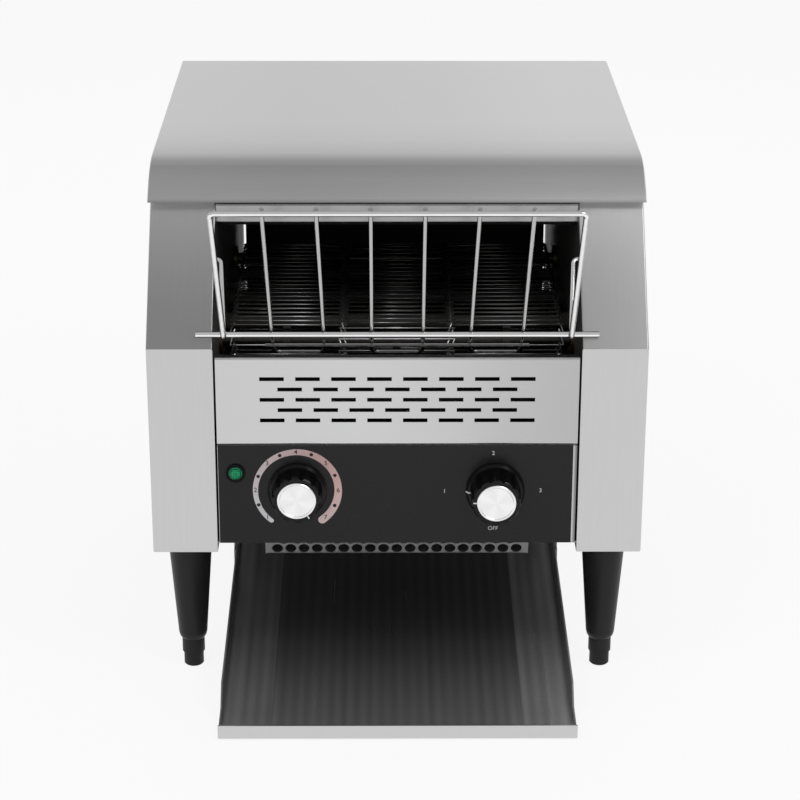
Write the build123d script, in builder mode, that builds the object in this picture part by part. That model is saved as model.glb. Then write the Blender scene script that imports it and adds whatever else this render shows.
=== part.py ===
from build123d import *
import math
import os

# ---------------------------------------------------------------- driving dimensions (mm)
# +X is the user's right, +Y runs from the front to the back, +Z is up.
# Depths are counted back from the front face of the side housings.
body_width = 368.0          # across the two side housings
body_depth = 418.0          # front face to rear panel
body_bottom = 109.5         # underside of the housings above the table
body_top = 387.0            # top of the cover
sheet = 1.2                 # housing steel
thin_sheet = 0.8            # inner sheet metal
bend = 2.4                  # outside radius of a fold
seat_gap = 0.1              # between sheets that are screwed together
running_gap = 0.3           # between a moving piece and a fixed one
bore_gap = 0.05             # radial, a shaft in its bore

# side housings
housing_width = 48.7
slope_foot_z = 272.5        # where the upright front face begins to lean back
slope_run = 74.0            # how far the leaning face goes back
hem_radius = 1.0            # rounded inner edge of the fronts
side_vent_inset = 88.0      # middle of the side vents in front of the rear panel
side_vent_z = 150.0
side_vent_pitch = 24.0
side_vent_columns = 5
side_vent_rows = 5
rear_panel_inset = 4.0
rear_panel_margin = 1.5
rear_panel_corner = 3.0
rear_vent_z = 205.0
rear_vent_row = 60.0
rear_vent_height = 50.0
rear_vent_width = 3.0
rear_vent_columns = 23
rear_vent_rows = 2

# cover
cover_rise = 25.0           # top of the cover above the housings
cover_overhang = 1.6        # cover beyond each side housing
cover_nose_depth = 67.0     # lower front edge of the cover
cover_flat_depth = 118.0    # where the flat top begins to bend down
cover_shoulder_run = 20.0   # length and fall of the first bend
cover_shoulder_drop = 3.2
cover_end_radius = 1.0
cover_gap = 1.8             # shadow gap under the cover
cover_lip = 11.0            # inward lips that the cover rests on
cover_rest_inset = 12.0     # raised edge of the inner wall, from the ends of the housing

# cross strip and front panels
strip_height = 16.8         # bright cross strip under the cover
strip_top_fold = 14.0
strip_low_fold = 8.0
strip_top_gap = 0.6
panel_margin = 1.6          # front panels short of the housings' inner faces
panel_top_drop = 6.8        # panel top under the foot of the leaning face
panel_split_z = 197.0       # perforated panel above, control panel below
panel_bottom_z = 116.8
panel_fold = 7.0
panel_bend = 1.6
overlay_sheet = 0.5
overlay_left_margin = 0.3   # film short of the panel's ends
overlay_right_margin = 2.9
overlay_edge = 0.3

slot_length = 18.1
slot_height = 3.0
slot_pitch = 26.4
slot_row_pitch = 8.15
slot_rows = 5
slot_columns = 8
slot_top_drop = 16.5        # top row of slots under the panel's top

# knobs, lamp and switches
knob_z = 160.2
dial_inset = 59.1           # controls from the ends of their panel
selector_inset = 60.5
lamp_inset = 13.2
knob_skirt_radius = 22.0
knob_skirt = 4.2
knob_skirt_edge = 1.6
knob_grip_radius = 18.8
knob_tip_radius = 18.0
knob_tip_edge = 0.8
speed_knob_length = 19.2
selector_knob_length = 24.0
knob_wall = 6.0             # front of the knob over its spindle
knob_flutes = 12
knob_flute_radius = 3.0
knob_flute_lift = 0.7
knob_stand_off = 0.8
pointer_width = 1.4
pointer_rise = 0.4
cap_radius = 14.4
cap_height = 1.4
cap_rim = 1.6
spindle_radius = 3.0
spindle_depth = 12.0
spindle_hole_gap = 1.0      # radial, the spindle in the front panel
dial_pointer = 147.0        # degrees clockwise from the top, at the darkest setting
selector_pointer = -90.0
regulator_radius = 12.5
regulator_depth = 14.0
regulator_terminal_drop = 14.0
regulator_terminal = (18.0, 8.0)
switch_side = 40.0
switch_corner = 6.0
switch_depth = 34.0
switch_decks = (10.0, 22.0)
switch_deck = 4.0
switch_tab = (7.0, 6.0)
switch_tab_pitch = 14.0
switch_tab_reach = 2.0

lamp_z = 174.4
lamp_radius = 5.6
lamp_wall = 0.6
lamp_collar = 1.6
lamp_collar_height = 1.4
lamp_depth = 18.0
lamp_base = 4.0
lens_crown = 3.1            # crown and edge of the lens in front of the film
lens_edge = 1.6
lens_depth = 8.0

terminal_inset = 27.3       # terminal block from the left inner wall
terminal_z = 160.0
terminal_size = (48.0, 20.0, 14.0)
terminal_rib_pitch = 9.4
terminal_slot = (1.4, 5.0)

# control compartment and grille
shelf_z = 201.0             # top of the control compartment
shelf_back = 129.0
shelf_lip = 10.0            # lower lip that carries the grille and the fan
shelf_lip_rise = 3.0        # lip above the underside of the housings
grille_margin = 34.3        # ends of the trough from the inner walls
grille_flange = 3.0         # front edge of the grille under the control panel
grille_front = 26.5         # where the grille turns down
grille_lean = 6.6
grille_bottom_z = 92.8
grille_rear_flange = 5.0
grille_sheet = 1.0
grille_bend = 1.5
grille_hole_radius = 4.2
grille_pitch = 10.2
grille_holes = 19
grille_row_rise = 5.2       # lower row of holes above the bottom
grille_row_pitch = 8.8
grille_slot = (14.0, 4.0)
grille_slot_columns = 9
grille_slot_rows = 4
grille_slot_pitch = 18.0

# belt, shafts and wheels
deck_z = 223.0              # reflector deck under the belt
belt_top_z = 262.0          # wire centres of the carrying run
belt_margin = 8.3           # belt edges from the inner walls
belt_wire = 1.4
belt_pitch = 9.5
belt_teeth = 8              # belt pitches around a wheel, and its teeth
belt_spans = 42             # half pitches between the two shafts
belt_joints = (-41.0, 41.0)
belt_zig = 3.0              # half length of a joint between two sections
belt_crossing = 1.65        # lift of one wire over or under its neighbour
belt_flat = 1.4             # half length of the flat at a crossing
front_shaft_depth = 82.6
shaft_radius = 5.0
shaft_chamfer = 0.8
shaft_reach = 7.7           # shaft ends beyond the inner walls
wheel_width = 6.0
wheel_places = (-84.0, 0.0, 84.0)
wheel_gap = (5.6, 2.7)      # width and depth of the space between two teeth
bush_radius = 8.0
bush_flange = 11.0
bush_flange_width = 2.6
bush_length = 9.0

# motor and chain
motor_depth = 95.0
motor_radius = 29.0
motor_length = 50.0
motor_ear = 14.0
gearbox_length = 18.0
gearbox_step = 3.0
output_radius = 4.0
output_depth = 12.0
output_hole_gap = 2.0
chain_pitch = 6.35
chain_teeth = 12
chain_wheel_gap = (3.4, 1.9)
tooth_angle = 66.0          # flanks of the teeth
tooth_gap_lift = 0.4
chain_links = 40
chain_reach = 16.7          # plane of the chain beyond the inner wall
chain_roller = 1.65
chain_plate = 0.8
chain_plate_margin = 1.0
chain_inner_width = 3.4
chain_hub = 2.0
chain_hub_length = 4.0

# heaters and reflectors
roof_drop = 12.0            # upper reflector under the top of the housings
upper_heater_drop = 14.0    # upper tubes under their reflector
upper_heater_depths = (128.0, 188.0, 248.0)
lower_heater_depths = (124.0, 182.3, 240.6)
heater_radius = 5.0
heater_margin = 2.3         # tube ends short of the inner walls
heater_grip = 4.0           # how far a socket grips its tube
heater_cap_radius = 7.0
heater_cap_length = 8.0
reflector_lip = 9.0
reflector_lean = 4.0
reflector_front = 12.0      # front lip behind the cross strip
reflector_chute_gap = 2.0
deck_tail = 14.0            # the deck's turned-down rear end

# toast path
chute_margin = 5.8          # chute short of the inner walls
chute_depth = 352.0
chute_turn_z = 150.0        # where the chute begins to turn forward
chute_end = (310.0, 62.0)
chute_ears = (312.0, 166.0)
chute_ear_height = 12.0
tray_reach = 93.5           # tray lip in front of the front face
tray_margin = 3.1           # tray short of the inner walls
tray_back_gap = 22.0        # rear of the tray in front of the chute
tray_lip = 11.8
tray_wall = 19.5
tray_back_wall = 15.5
tray_low_wall = 6.0
tray_ramp = (-61.0, -47.0)
tray_corner = 6.0
tray_edge = 0.4             # side plates inside the folded floor's skin
tray_clearance = 0.8
tray_slope = 0.07
rail_sheet = 1.5
rail_gap = 1.0
rail_ledge = 9.0
rail_front = 172.0
rail_back_gap = 7.0         # rear of the runners in front of the chute
rail_flange = 16.0
rail_web = 12.0
rail_strap_width = 26.0
rail_strap_insets = (4.0, 7.0)      # straps from the ends of the runner

# feed rack
rack_wire = 4.3
rack_rod = 3.2
rack_bar = 3.0
rack_top_margin = 3.5       # sides of the frame from the inner walls, at the top rail
rack_foot_margin = 8.5      # at the heel of the legs
rack_pivot_margin = 4.5     # and at the pivots
rack_cross_reach = 12.2     # crossbar ends beyond the inner walls
rack_pivot_reach = 4.1
rack_rest_along = 10.6      # crossbar up the leaning faces
rack_rest_gap = 0.38
rack_rise = (44.8, 105.7)   # top rail in front of and above the crossbar
rack_heel = (1.8, 4.2)      # heel of the legs in front of and below the crossbar
rack_pivot_depth = 50.0
rack_pivot_drop = 8.0       # pivots under the leaning edge
rack_bend = 3.6
rack_rod_bend = 6.0
rack_rod_gap = 0.05
rack_rod_rise = 1.0         # rod ends over the top rail
rack_rods_low = (54.0, 92.2)        # outer pairs of rods at the crossbar
rack_rods_high = (57.5, 95.6)       # and at the top rail, where they spread
rack_middle_low = 18.9
rack_middle_high = 19.1
rack_low = (42.6, 6.0)      # loops in front of the shaft and under the belt's top
rack_bar_reach = 5.3        # low bar beyond the outer rods
rack_bar_sink = 0.2

# feet
foot_inset_x = 25.5
foot_inset_y = 31.0
foot_top_radius = 16.75
foot_top_band = 3.0
foot_waist_radius = 11.0
foot_waist_z = 28.2
foot_step_z = 23.6          # underside of the leg, where the tip comes out
foot_step_margin = 0.4
foot_round = (0.7, 1.8)
tip_radius = 8.7
tip_foot_radius = 7.6
tip_edge = 1.0
tip_collar_z = 11.0         # where the tip widens
tip_collar = 0.6
tip_stem_radius = 4.0
tip_travel = 15.0
tip_stem_grip = 7.4         # stem still in the leg when the tip is fully out
foot_bore_end = 2.0

# cooling fan
fan_side = 92.0
fan_height = 20.0
fan_inset = 7.0             # fan from the end of the grille
fan_wall = 3.0
fan_corner = 4.0
fan_screw_inset = 5.0
fan_screw_radius = 2.2
fan_blades = 7
fan_blade_gap = 2.5
fan_blade_root = (13.0, 32.0)       # width and lean of a blade at its root
fan_blade_tip = (19.0, 20.0)        # and at its tip
fan_blade_thickness = 1.4
fan_hub_radius = 15.0
fan_hub_gap = 1.0
fan_hub_drop = 5.0
fan_arm = 3.0
fan_arm_width = 4.0
fan_pin_radius = 2.0
fan_pin_length = 13.0

# cord gland and screws
gland_inset = 72.0          # cord gland from the side of the body
gland_z = 134.0
gland_reach = 14.0          # cord gland behind the rear panel
gland_radius = 8.0
gland_bore = 4.25
gland_nut = 12.0
gland_collar = 5.0
gland_nut_height = 6.0
screw_radius = 3.6
screw_height = 1.8
screw_edge = 0.5
side_screw_inset = 22.0     # side screws from the edges of their cover
side_screw_low = 16.5
rear_screw_inset = 8.0
rear_screw_low = 10.0

# ---------------------------------------------------------------- places worked out from them
front_y = (tray_reach - body_depth - gland_reach) / 2
half_body = body_width / 2
housing_inner = half_body - housing_width
housing_back = body_depth - sheet
slope_top_z = body_top - cover_rise
slope_rise = slope_top_z - slope_foot_z
slope_angle = math.atan2(slope_rise, slope_run)
cover_shoulder_depth = cover_flat_depth - cover_shoulder_run

strip_bottom_z = slope_top_z - strip_height
panel_half = housing_inner - panel_margin
panel_top_z = slope_foot_z - panel_top_drop
dial_x = dial_inset - panel_half
selector_x = panel_half - selector_inset
lamp_x = lamp_inset - panel_half
overlay_left = overlay_left_margin - panel_half
overlay_right = panel_half - overlay_right_margin
slot_top_z = panel_top_z - slot_top_drop
grille_half = housing_inner - grille_margin
fan_x = fan_inset + fan_side / 2 - grille_half
shelf_lip_z = body_bottom + shelf_lip_rise
terminal_x = terminal_inset - housing_inner

belt_radius = belt_teeth * belt_pitch / (2 * math.pi)
belt_half = housing_inner - belt_margin
shaft_spacing = belt_spans * belt_pitch / 2
shaft_z = belt_top_z - belt_radius
rear_shaft_depth = front_shaft_depth + shaft_spacing
shaft_end = housing_inner + shaft_reach
chain_plane = housing_inner + chain_reach

roof_z = slope_top_z - roof_drop
upper_heater_z = roof_z - upper_heater_drop
heater_half = housing_inner - heater_margin

chute_half = housing_inner - chute_margin
tray_half = housing_inner - tray_margin
tray_back = chute_depth - tray_back_gap
rail_back = chute_depth - rail_back_gap
rail_x = tray_half + rail_gap
rail_straps = (
    rail_front + rail_strap_insets[0], rail_back - rail_strap_insets[1] - rail_strap_width
)

rack_cross_half = housing_inner + rack_cross_reach
rack_rest_lift = rack_wire / 2 + rack_rest_gap
rack_rest = (
    rack_rest_along * math.cos(slope_angle) - rack_rest_lift * math.sin(slope_angle),
    slope_foot_z + rack_rest_along * math.sin(slope_angle) + rack_rest_lift * math.cos(slope_angle),
)
rack_top = (rack_rest[0] - rack_rise[0], rack_rest[1] + rack_rise[1])
rack_foot = (rack_rest[0] - rack_heel[0], rack_rest[1] - rack_heel[1])
rack_pivot = (
    rack_pivot_depth, slope_foot_z + rack_pivot_depth * math.tan(slope_angle) - rack_pivot_drop
)
rack_loop = (front_shaft_depth - rack_low[0], belt_top_z - rack_low[1])

foot_x = half_body - foot_inset_x
foot_depths = (foot_inset_y, body_depth - foot_inset_y)
tip_stem_top = foot_step_z + tip_travel + tip_stem_grip
side_vent_depth = body_depth - side_vent_inset
gland_x = half_body - gland_inset

parts_folder = "parts"
os.makedirs(parts_folder, exist_ok=True)


# ---------------------------------------------------------------- places and small helpers
def y_at(depth):
    return front_y + depth


def yz(depth, height):
    """A point of a side view: depth behind the front face, height above the table."""
    return (y_at(depth), height)


def side_plane(x):
    """Side view at x: sketches in Y and Z, extrudes towards +X."""
    return Plane.YZ.offset(x)


def face_plane(depth):
    """Front view at a depth: sketches in X and Z, extrudes towards the user."""
    return Plane.XZ.offset(-y_at(depth))


def save(name, part):
    part.label = name
    export_step(part, f"{parts_folder}/{name}.step")


def mirrored(part):
    return mirror(part, about=Plane.YZ)


def folded_sheet(corners, half_width, thickness=thin_sheet, radius=bend, side=Side.LEFT):
    """A strip of sheet metal folded along a side-view line and as wide as the body of the line."""
    with BuildPart() as folded:
        with BuildSketch(Plane.YZ):
            with BuildLine():
                FilletPolyline(*[yz(*corner) for corner in corners], radius=radius)
                offset(amount=thickness, side=side)
            make_face()
        extrude(amount=half_width, both=True)
    return folded.part


def round_bar(depth, height, radius, x_from, x_to):
    with BuildPart() as bar:
        with BuildSketch(side_plane(x_from)):
            with Locations(yz(depth, height)):
                Circle(radius)
        extrude(amount=x_to - x_from)
    return bar.part


# ---------------------------------------------------------------- housing
def draw_housing(inset=0.0):
    """Side view of a housing in the current sketch, drawn inside the edge by inset."""
    with BuildLine() as outline:
        Polyline(
            yz(0, body_bottom),
            yz(0, slope_foot_z),
            yz(slope_run, slope_top_z),
            yz(housing_back, slope_top_z),
            yz(housing_back, body_bottom),
            close=True,
        )
    face = make_face(outline.line, mode=Mode.PRIVATE)
    add(offset(face, amount=-inset, kind=Kind.INTERSECTION, mode=Mode.PRIVATE) if inset else face)


def make_side_cover():
    """Deep folded pan: outer side, leaning front, top, back and bottom, open towards the middle."""
    with BuildPart() as side_cover:
        with BuildSketch(side_plane(housing_inner)):
            draw_housing()
        extrude(amount=housing_width)
        fillet(side_cover.faces().sort_by(Axis.X)[-1].edges(), radius=bend / 2)
        with BuildSketch(side_plane(housing_inner)):
            draw_housing(sheet)
        extrude(amount=housing_width - sheet, mode=Mode.SUBTRACT)
        # rounded inner edge of the leaning front
        leaning = Edge.make_line(
            (housing_inner, *yz(0, slope_foot_z)), (housing_inner, *yz(slope_run, slope_top_z))
        )
        fillet(
            side_cover.edges().filter_by(lambda edge: (edge.center() - leaning.center()).length < 0.1),
            radius=hem_radius,
        )
        # notch in the top for the raised edge of the inner wall
        with BuildSketch(Plane.XY.offset(slope_top_z - 2 * sheet)):
            with Locations((housing_inner - seat_gap, y_at(cover_rest_front - seat_gap))):
                Rectangle(
                    sheet + 3 * seat_gap, cover_rest_back - cover_rest_front + 2 * seat_gap,
                    align=(Align.MIN, Align.MIN),
                )
        extrude(amount=4 * sheet, mode=Mode.SUBTRACT)
        # vent slots low on the side, below the heated part
        with BuildSketch(side_plane(half_body - 2 * sheet)):
            with Locations(yz(side_vent_depth, side_vent_z)):
                with GridLocations(side_vent_pitch, slot_row_pitch, side_vent_columns, side_vent_rows):
                    Rectangle(slot_length, slot_height)
        extrude(amount=3 * sheet, mode=Mode.SUBTRACT)
    return side_cover.part


wall_inset = sheet + seat_gap
wall_x = housing_inner + seat_gap     # inner face of an inner wall
inner_half = housing_inner - seat_gap
cover_half = half_body + cover_overhang
cover_bottom_z = slope_top_z + cover_gap
cover_rest_front = slope_run + cover_rest_inset
cover_rest_back = housing_back - cover_rest_inset
rear_half = half_body - rear_panel_inset
rear_vent_pitch = 2 * (inner_half - rear_vent_width / 2) / (rear_vent_columns - 1)


def make_inner_wall():
    """Plate that closes a housing and carries the shafts, the heaters, the rack and the cover."""
    with BuildPart() as inner_wall:
        with BuildSketch(side_plane(wall_x)):
            draw_housing(wall_inset)
            with Locations(yz(cover_rest_front, slope_top_z - 3 * sheet)):
                Rectangle(
                    cover_rest_back - cover_rest_front, cover_gap + 3 * sheet - seat_gap,
                    align=(Align.MIN, Align.MIN),
                )
            with Locations(*[yz(depth, shaft_z) for depth in (front_shaft_depth, rear_shaft_depth)]):
                Circle(bush_radius + seat_gap, mode=Mode.SUBTRACT)
            with Locations(*[yz(depth, upper_heater_z) for depth in upper_heater_depths]):
                Circle(heater_cap_radius + seat_gap, mode=Mode.SUBTRACT)
            with Locations(*[yz(depth, shaft_z) for depth in lower_heater_depths]):
                Circle(heater_cap_radius + seat_gap, mode=Mode.SUBTRACT)
            with Locations(yz(*rack_pivot)):
                Circle(rack_wire / 2 + bore_gap, mode=Mode.SUBTRACT)
            with Locations(yz(motor_depth, motor_z)):
                Circle(output_radius + output_hole_gap, mode=Mode.SUBTRACT)
        extrude(amount=sheet)
        # folded top: the cover's lips lie on it
        with BuildSketch(Plane.XY.offset(slope_top_z + seat_gap)):
            with Locations((wall_x, y_at(cover_rest_front))):
                Rectangle(
                    half_body - 2 * sheet - wall_x, cover_rest_back - cover_rest_front,
                    align=(Align.MIN, Align.MIN),
                )
        extrude(amount=cover_gap - 2 * seat_gap)
    return inner_wall.part


def draw_cover(inset=0.0):
    """Side view of the cover in the current sketch: flat top, wide soft bend, tighter nose."""
    with BuildLine() as outline:
        top = Line(yz(body_depth, body_top), yz(cover_flat_depth, body_top))
        shoulder = TangentArc(
            top @ 1, yz(cover_shoulder_depth, body_top - cover_shoulder_drop), tangent=(-1, 0)
        )
        nose = TangentArc(shoulder @ 1, yz(cover_nose_depth, cover_bottom_z), tangent=shoulder % 1)
        base = Line(nose @ 1, yz(body_depth, cover_bottom_z))
        Line(base @ 1, top @ 0)
    face = make_face(outline.line, mode=Mode.PRIVATE)
    add(offset(face, amount=-inset, kind=Kind.INTERSECTION, mode=Mode.PRIVATE) if inset else face)


def make_top_cover():
    """Hollow lid with closed ends; narrow lips turned inwards around its underside."""
    with BuildPart() as top_cover:
        with BuildSketch(Plane.YZ):
            draw_cover()
        extrude(amount=cover_half, both=True)
        ends = top_cover.faces().filter_by(Axis.X)
        fillet(
            ends.edges().filter_by(lambda edge: edge.center().Z > cover_bottom_z + sheet),
            radius=cover_end_radius,
        )
        with BuildSketch(Plane.YZ):
            draw_cover(sheet)
        extrude(amount=cover_half - sheet, both=True, mode=Mode.SUBTRACT)
        lip_depth = (cover_nose_depth + body_depth) / 2
        with BuildSketch(Plane.XY.offset(cover_bottom_z)):
            with Locations((0, y_at(lip_depth))):
                Rectangle(
                    2 * (cover_half - cover_lip), body_depth - cover_nose_depth - 2 * cover_lip
                )
        extrude(amount=sheet, mode=Mode.SUBTRACT)
    return top_cover.part


def make_rear_panel():
    """Flat rear panel with upright vent slots, screwed over the backs of the housings."""
    with BuildPart() as rear_panel:
        with BuildSketch(face_plane(body_depth)):
            with Locations((0, (body_bottom + slope_top_z) / 2)):
                RectangleRounded(
                    2 * rear_half, slope_top_z - body_bottom - 2 * rear_panel_margin, rear_panel_corner
                )
            with Locations((0, rear_vent_z)):
                with GridLocations(rear_vent_pitch, rear_vent_row, rear_vent_columns, rear_vent_rows):
                    Rectangle(rear_vent_width, rear_vent_height, mode=Mode.SUBTRACT)
            with Locations((gland_x, gland_z)):
                Circle(gland_radius + seat_gap, mode=Mode.SUBTRACT)
        extrude(amount=sheet - seat_gap)
    return rear_panel.part


def make_front_strip():
    """Bright strip under the cover, folded back at the top and the bottom."""
    top_z = slope_top_z - strip_top_gap
    return folded_sheet(
        [
            (slope_run + strip_top_fold, top_z),
            (slope_run, top_z),
            (slope_run, strip_bottom_z),
            (slope_run + strip_low_fold, strip_bottom_z),
        ],
        inner_half,
        thickness=sheet,
    )


def make_front_panel():
    """Perforated stainless panel above the controls, folded back at the top and the bottom."""
    blank = folded_sheet(
        [
            (panel_fold, panel_top_z),
            (0, panel_top_z),
            (0, panel_split_z + seat_gap),
            (panel_fold, panel_split_z + seat_gap),
        ],
        panel_half,
        thickness=sheet,
        radius=panel_bend,
    )
    with BuildPart() as front_panel:
        add(blank)
        with BuildSketch(face_plane(2 * sheet)):
            for row in range(slot_rows):
                slots = slot_columns - row % 2
                with Locations((0, slot_top_z - row * slot_row_pitch)):
                    with GridLocations(slot_pitch, 0, slots, 1):
                        Rectangle(slot_length, slot_height)
        extrude(amount=3 * sheet, mode=Mode.SUBTRACT)
    return front_panel.part


def make_control_panel():
    """Steel panel behind the black overlay, folded back at the top and the bottom."""
    blank = folded_sheet(
        [
            (3 * panel_fold, panel_split_z - seat_gap),
            (overlay_sheet, panel_split_z - seat_gap),
            (overlay_sheet, panel_bottom_z),
            (2 * panel_fold, panel_bottom_z),
        ],
        panel_half,
        thickness=sheet,
        radius=panel_bend,
    )
    with BuildPart() as control_panel:
        add(blank)
        with BuildSketch(face_plane(3 * sheet)):
            draw_control_holes()
        extrude(amount=4 * sheet, mode=Mode.SUBTRACT)
    return control_panel.part


def draw_control_holes(mode=Mode.ADD):
    with Locations((dial_x, knob_z), (selector_x, knob_z)):
        Circle(spindle_radius + spindle_hole_gap, mode=mode)
    with Locations((lamp_x, lamp_z)):
        Circle(lamp_radius + seat_gap, mode=mode)


def make_control_overlay():
    """Black front film, a little narrower than its panel."""
    width = overlay_right - overlay_left
    height = panel_split_z - panel_bottom_z - 2 * overlay_edge
    with BuildPart() as control_overlay:
        with BuildSketch(face_plane(overlay_sheet)):
            with Locations(((overlay_left + overlay_right) / 2, (panel_split_z + panel_bottom_z) / 2)):
                Rectangle(width, height)
            draw_control_holes(Mode.SUBTRACT)
        extrude(amount=overlay_sheet)
    return control_overlay.part


def make_control_box():
    """Shelf and back of the control compartment."""
    return folded_sheet(
        [
            (panel_fold + bend, shelf_z),
            (shelf_back, shelf_z),
            (shelf_back, shelf_lip_z),
            (shelf_back - shelf_lip, shelf_lip_z),
        ],
        inner_half,
        side=Side.RIGHT,
    )


def make_lower_reflector():
    """Bright deck under the belt, turned down at the rear where the toast drops."""
    return folded_sheet(
        [
            (panel_fold / 2, deck_z),
            (rear_shaft_depth - deck_tail / 2, deck_z),
            (rear_shaft_depth + deck_tail / 2, deck_z - deck_tail),
        ],
        inner_half,
        side=Side.RIGHT,
    )


def make_upper_reflector():
    """Reflector above the upper heaters, turned down at both ends."""
    front = slope_run + reflector_front
    back = chute_depth - reflector_chute_gap
    return folded_sheet(
        [
            (front, roof_z - reflector_lip),
            (front + reflector_lean, roof_z),
            (back - reflector_lean, roof_z),
            (back, roof_z - reflector_lip),
        ],
        inner_half,
        side=Side.RIGHT,
    )


def make_toast_chute():
    """Rear sheet that catches the toast behind the belt and turns it forward onto the tray."""
    with BuildPart() as toast_chute:
        with BuildSketch(Plane.YZ):
            with BuildLine():
                back = Line(yz(chute_depth, upper_heater_z), yz(chute_depth, chute_turn_z))
                TangentArc(back @ 1, yz(*chute_end), tangent=(0, -1))
                offset(amount=thin_sheet, side=Side.RIGHT)
            make_face()
        extrude(amount=chute_half, both=True)
        # ears that reach the inner walls
        with BuildSketch(face_plane(chute_depth)):
            for height in chute_ears:
                with Locations((0, height)):
                    Rectangle(2 * inner_half, chute_ear_height)
        extrude(amount=thin_sheet)
    return toast_chute.part


def make_rear_floor():
    """Plate that closes the underside between the chute and the rear panel."""
    floor_front = chute_depth + bend
    with BuildPart() as rear_floor:
        with BuildSketch(Plane.XY.offset(body_bottom + sheet)):
            with Locations((0, y_at(floor_front))):
                Rectangle(
                    2 * inner_half, housing_back - floor_front - seat_gap,
                    align=(Align.CENTER, Align.MIN),
                )
        extrude(amount=sheet)
    return rear_floor.part


grille_top_z = panel_bottom_z - seat_gap - grille_sheet
grille_rear_z = shelf_lip_z - seat_gap - grille_sheet


def make_vent_grille():
    """Perforated trough under the control compartment: the cooling air comes in here."""
    back = shelf_back - seat_gap
    flange_back = shelf_back - shelf_lip - seat_gap - grille_sheet
    foot = grille_front + grille_lean
    heel = back - grille_rear_flange - grille_lean
    trough = folded_sheet(
        [
            (grille_flange, grille_top_z),
            (grille_front, grille_top_z),
            (foot, grille_bottom_z),
            (heel, grille_bottom_z),
            (back - grille_rear_flange, grille_rear_z),
            (back, grille_rear_z),
        ],
        grille_half,
        thickness=grille_sheet,
        radius=grille_bend,
    )
    lean_height = grille_top_z - grille_bottom_z
    lean_angle = math.atan2(grille_lean, lean_height)
    lean_plane = Plane(
        origin=(0, *yz(foot, grille_bottom_z)),
        x_dir=(1, 0, 0),
        z_dir=(0, -math.cos(lean_angle), -math.sin(lean_angle)),
    )
    with BuildPart() as vent_grille:
        add(trough)
        # end plates and the flat flanges beside the trough
        with BuildSketch(side_plane(grille_half - grille_sheet)):
            with BuildLine():
                Polyline(
                    yz(grille_front, grille_top_z + grille_sheet),
                    yz(grille_front, grille_top_z),
                    yz(foot, grille_bottom_z),
                    yz(heel, grille_bottom_z),
                    yz(back - grille_rear_flange, grille_rear_z),
                    yz(flange_back, grille_rear_z),
                    yz(flange_back, grille_top_z + grille_sheet),
                    close=True,
                )
            make_face()
        extrude(amount=grille_sheet)
        mirror(about=Plane.YZ)
        with BuildSketch(Plane.XY.offset(grille_top_z)):
            with Locations((0, y_at((grille_flange + flange_back) / 2))):
                Rectangle(2 * inner_half, flange_back - grille_flange)
                Rectangle(
                    2 * (grille_half - grille_sheet), flange_back - grille_flange, mode=Mode.SUBTRACT
                )
        extrude(amount=grille_sheet)
        # two staggered rows of holes in the leaning front
        with BuildSketch(lean_plane.offset(grille_sheet)):
            for row in range(2):
                with Locations((0, grille_row_rise + row * grille_row_pitch)):
                    with GridLocations(grille_pitch, 0, grille_holes - row, 1):
                        Circle(grille_hole_radius)
        extrude(amount=-3 * grille_sheet, mode=Mode.SUBTRACT)
        # slots in the flat underside
        with BuildSketch(Plane.XY.offset(grille_bottom_z - grille_sheet)):
            with Locations((0, y_at((foot + heel) / 2))):
                with GridLocations(
                    2 * grille_pitch, grille_slot_pitch, grille_slot_columns, grille_slot_rows
                ):
                    Rectangle(*grille_slot)
        extrude(amount=3 * grille_sheet, mode=Mode.SUBTRACT)
    return vent_grille.part


# ---------------------------------------------------------------- feet
foot_top_z = body_bottom - seat_gap
foot_bore_top = tip_stem_top + foot_bore_end


def make_foot():
    """Moulded leg: a cone with a rounded step, bored for the levelling tip."""
    step_radius = tip_radius + foot_step_margin
    with BuildPart() as foot:
        with BuildSketch(Plane.XZ):
            with BuildLine():
                Polyline(
                    (step_radius, foot_step_z),
                    (tip_stem_radius + bore_gap, foot_step_z),
                    (tip_stem_radius + bore_gap, foot_bore_top),
                    (0, foot_bore_top),
                    (0, foot_top_z),
                    (foot_top_radius, foot_top_z),
                    (foot_top_radius, foot_top_z - foot_top_band),
                    (foot_waist_radius, foot_waist_z),
                    (foot_waist_radius - foot_round[0], foot_step_z + foot_round[1]),
                    close=True,
                )
            make_face()
        revolve(axis=Axis.Z)
    return foot.part


def make_foot_tip():
    """Levelling tip on a stem that screws into the leg; it widens a little towards the leg."""
    tip_top = foot_step_z - running_gap
    with BuildPart() as foot_tip:
        with BuildSketch(Plane.XZ):
            with BuildLine():
                Polyline(
                    (0, 0),
                    (tip_foot_radius - tip_edge, 0),
                    (tip_foot_radius, tip_edge),
                    (tip_foot_radius, tip_collar_z),
                    (tip_radius, tip_collar_z + tip_collar),
                    (tip_radius, tip_top),
                    (tip_stem_radius, tip_top),
                    (tip_stem_radius, tip_stem_top),
                    (0, tip_stem_top),
                    close=True,
                )
            make_face()
        revolve(axis=Axis.Z)
    return foot_tip.part


# ---------------------------------------------------------------- toast tray
def tray_floor(depth):
    """Height of the underside of the tray's floor."""
    return tray_clearance + tray_slope * (depth + tray_reach)


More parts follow.
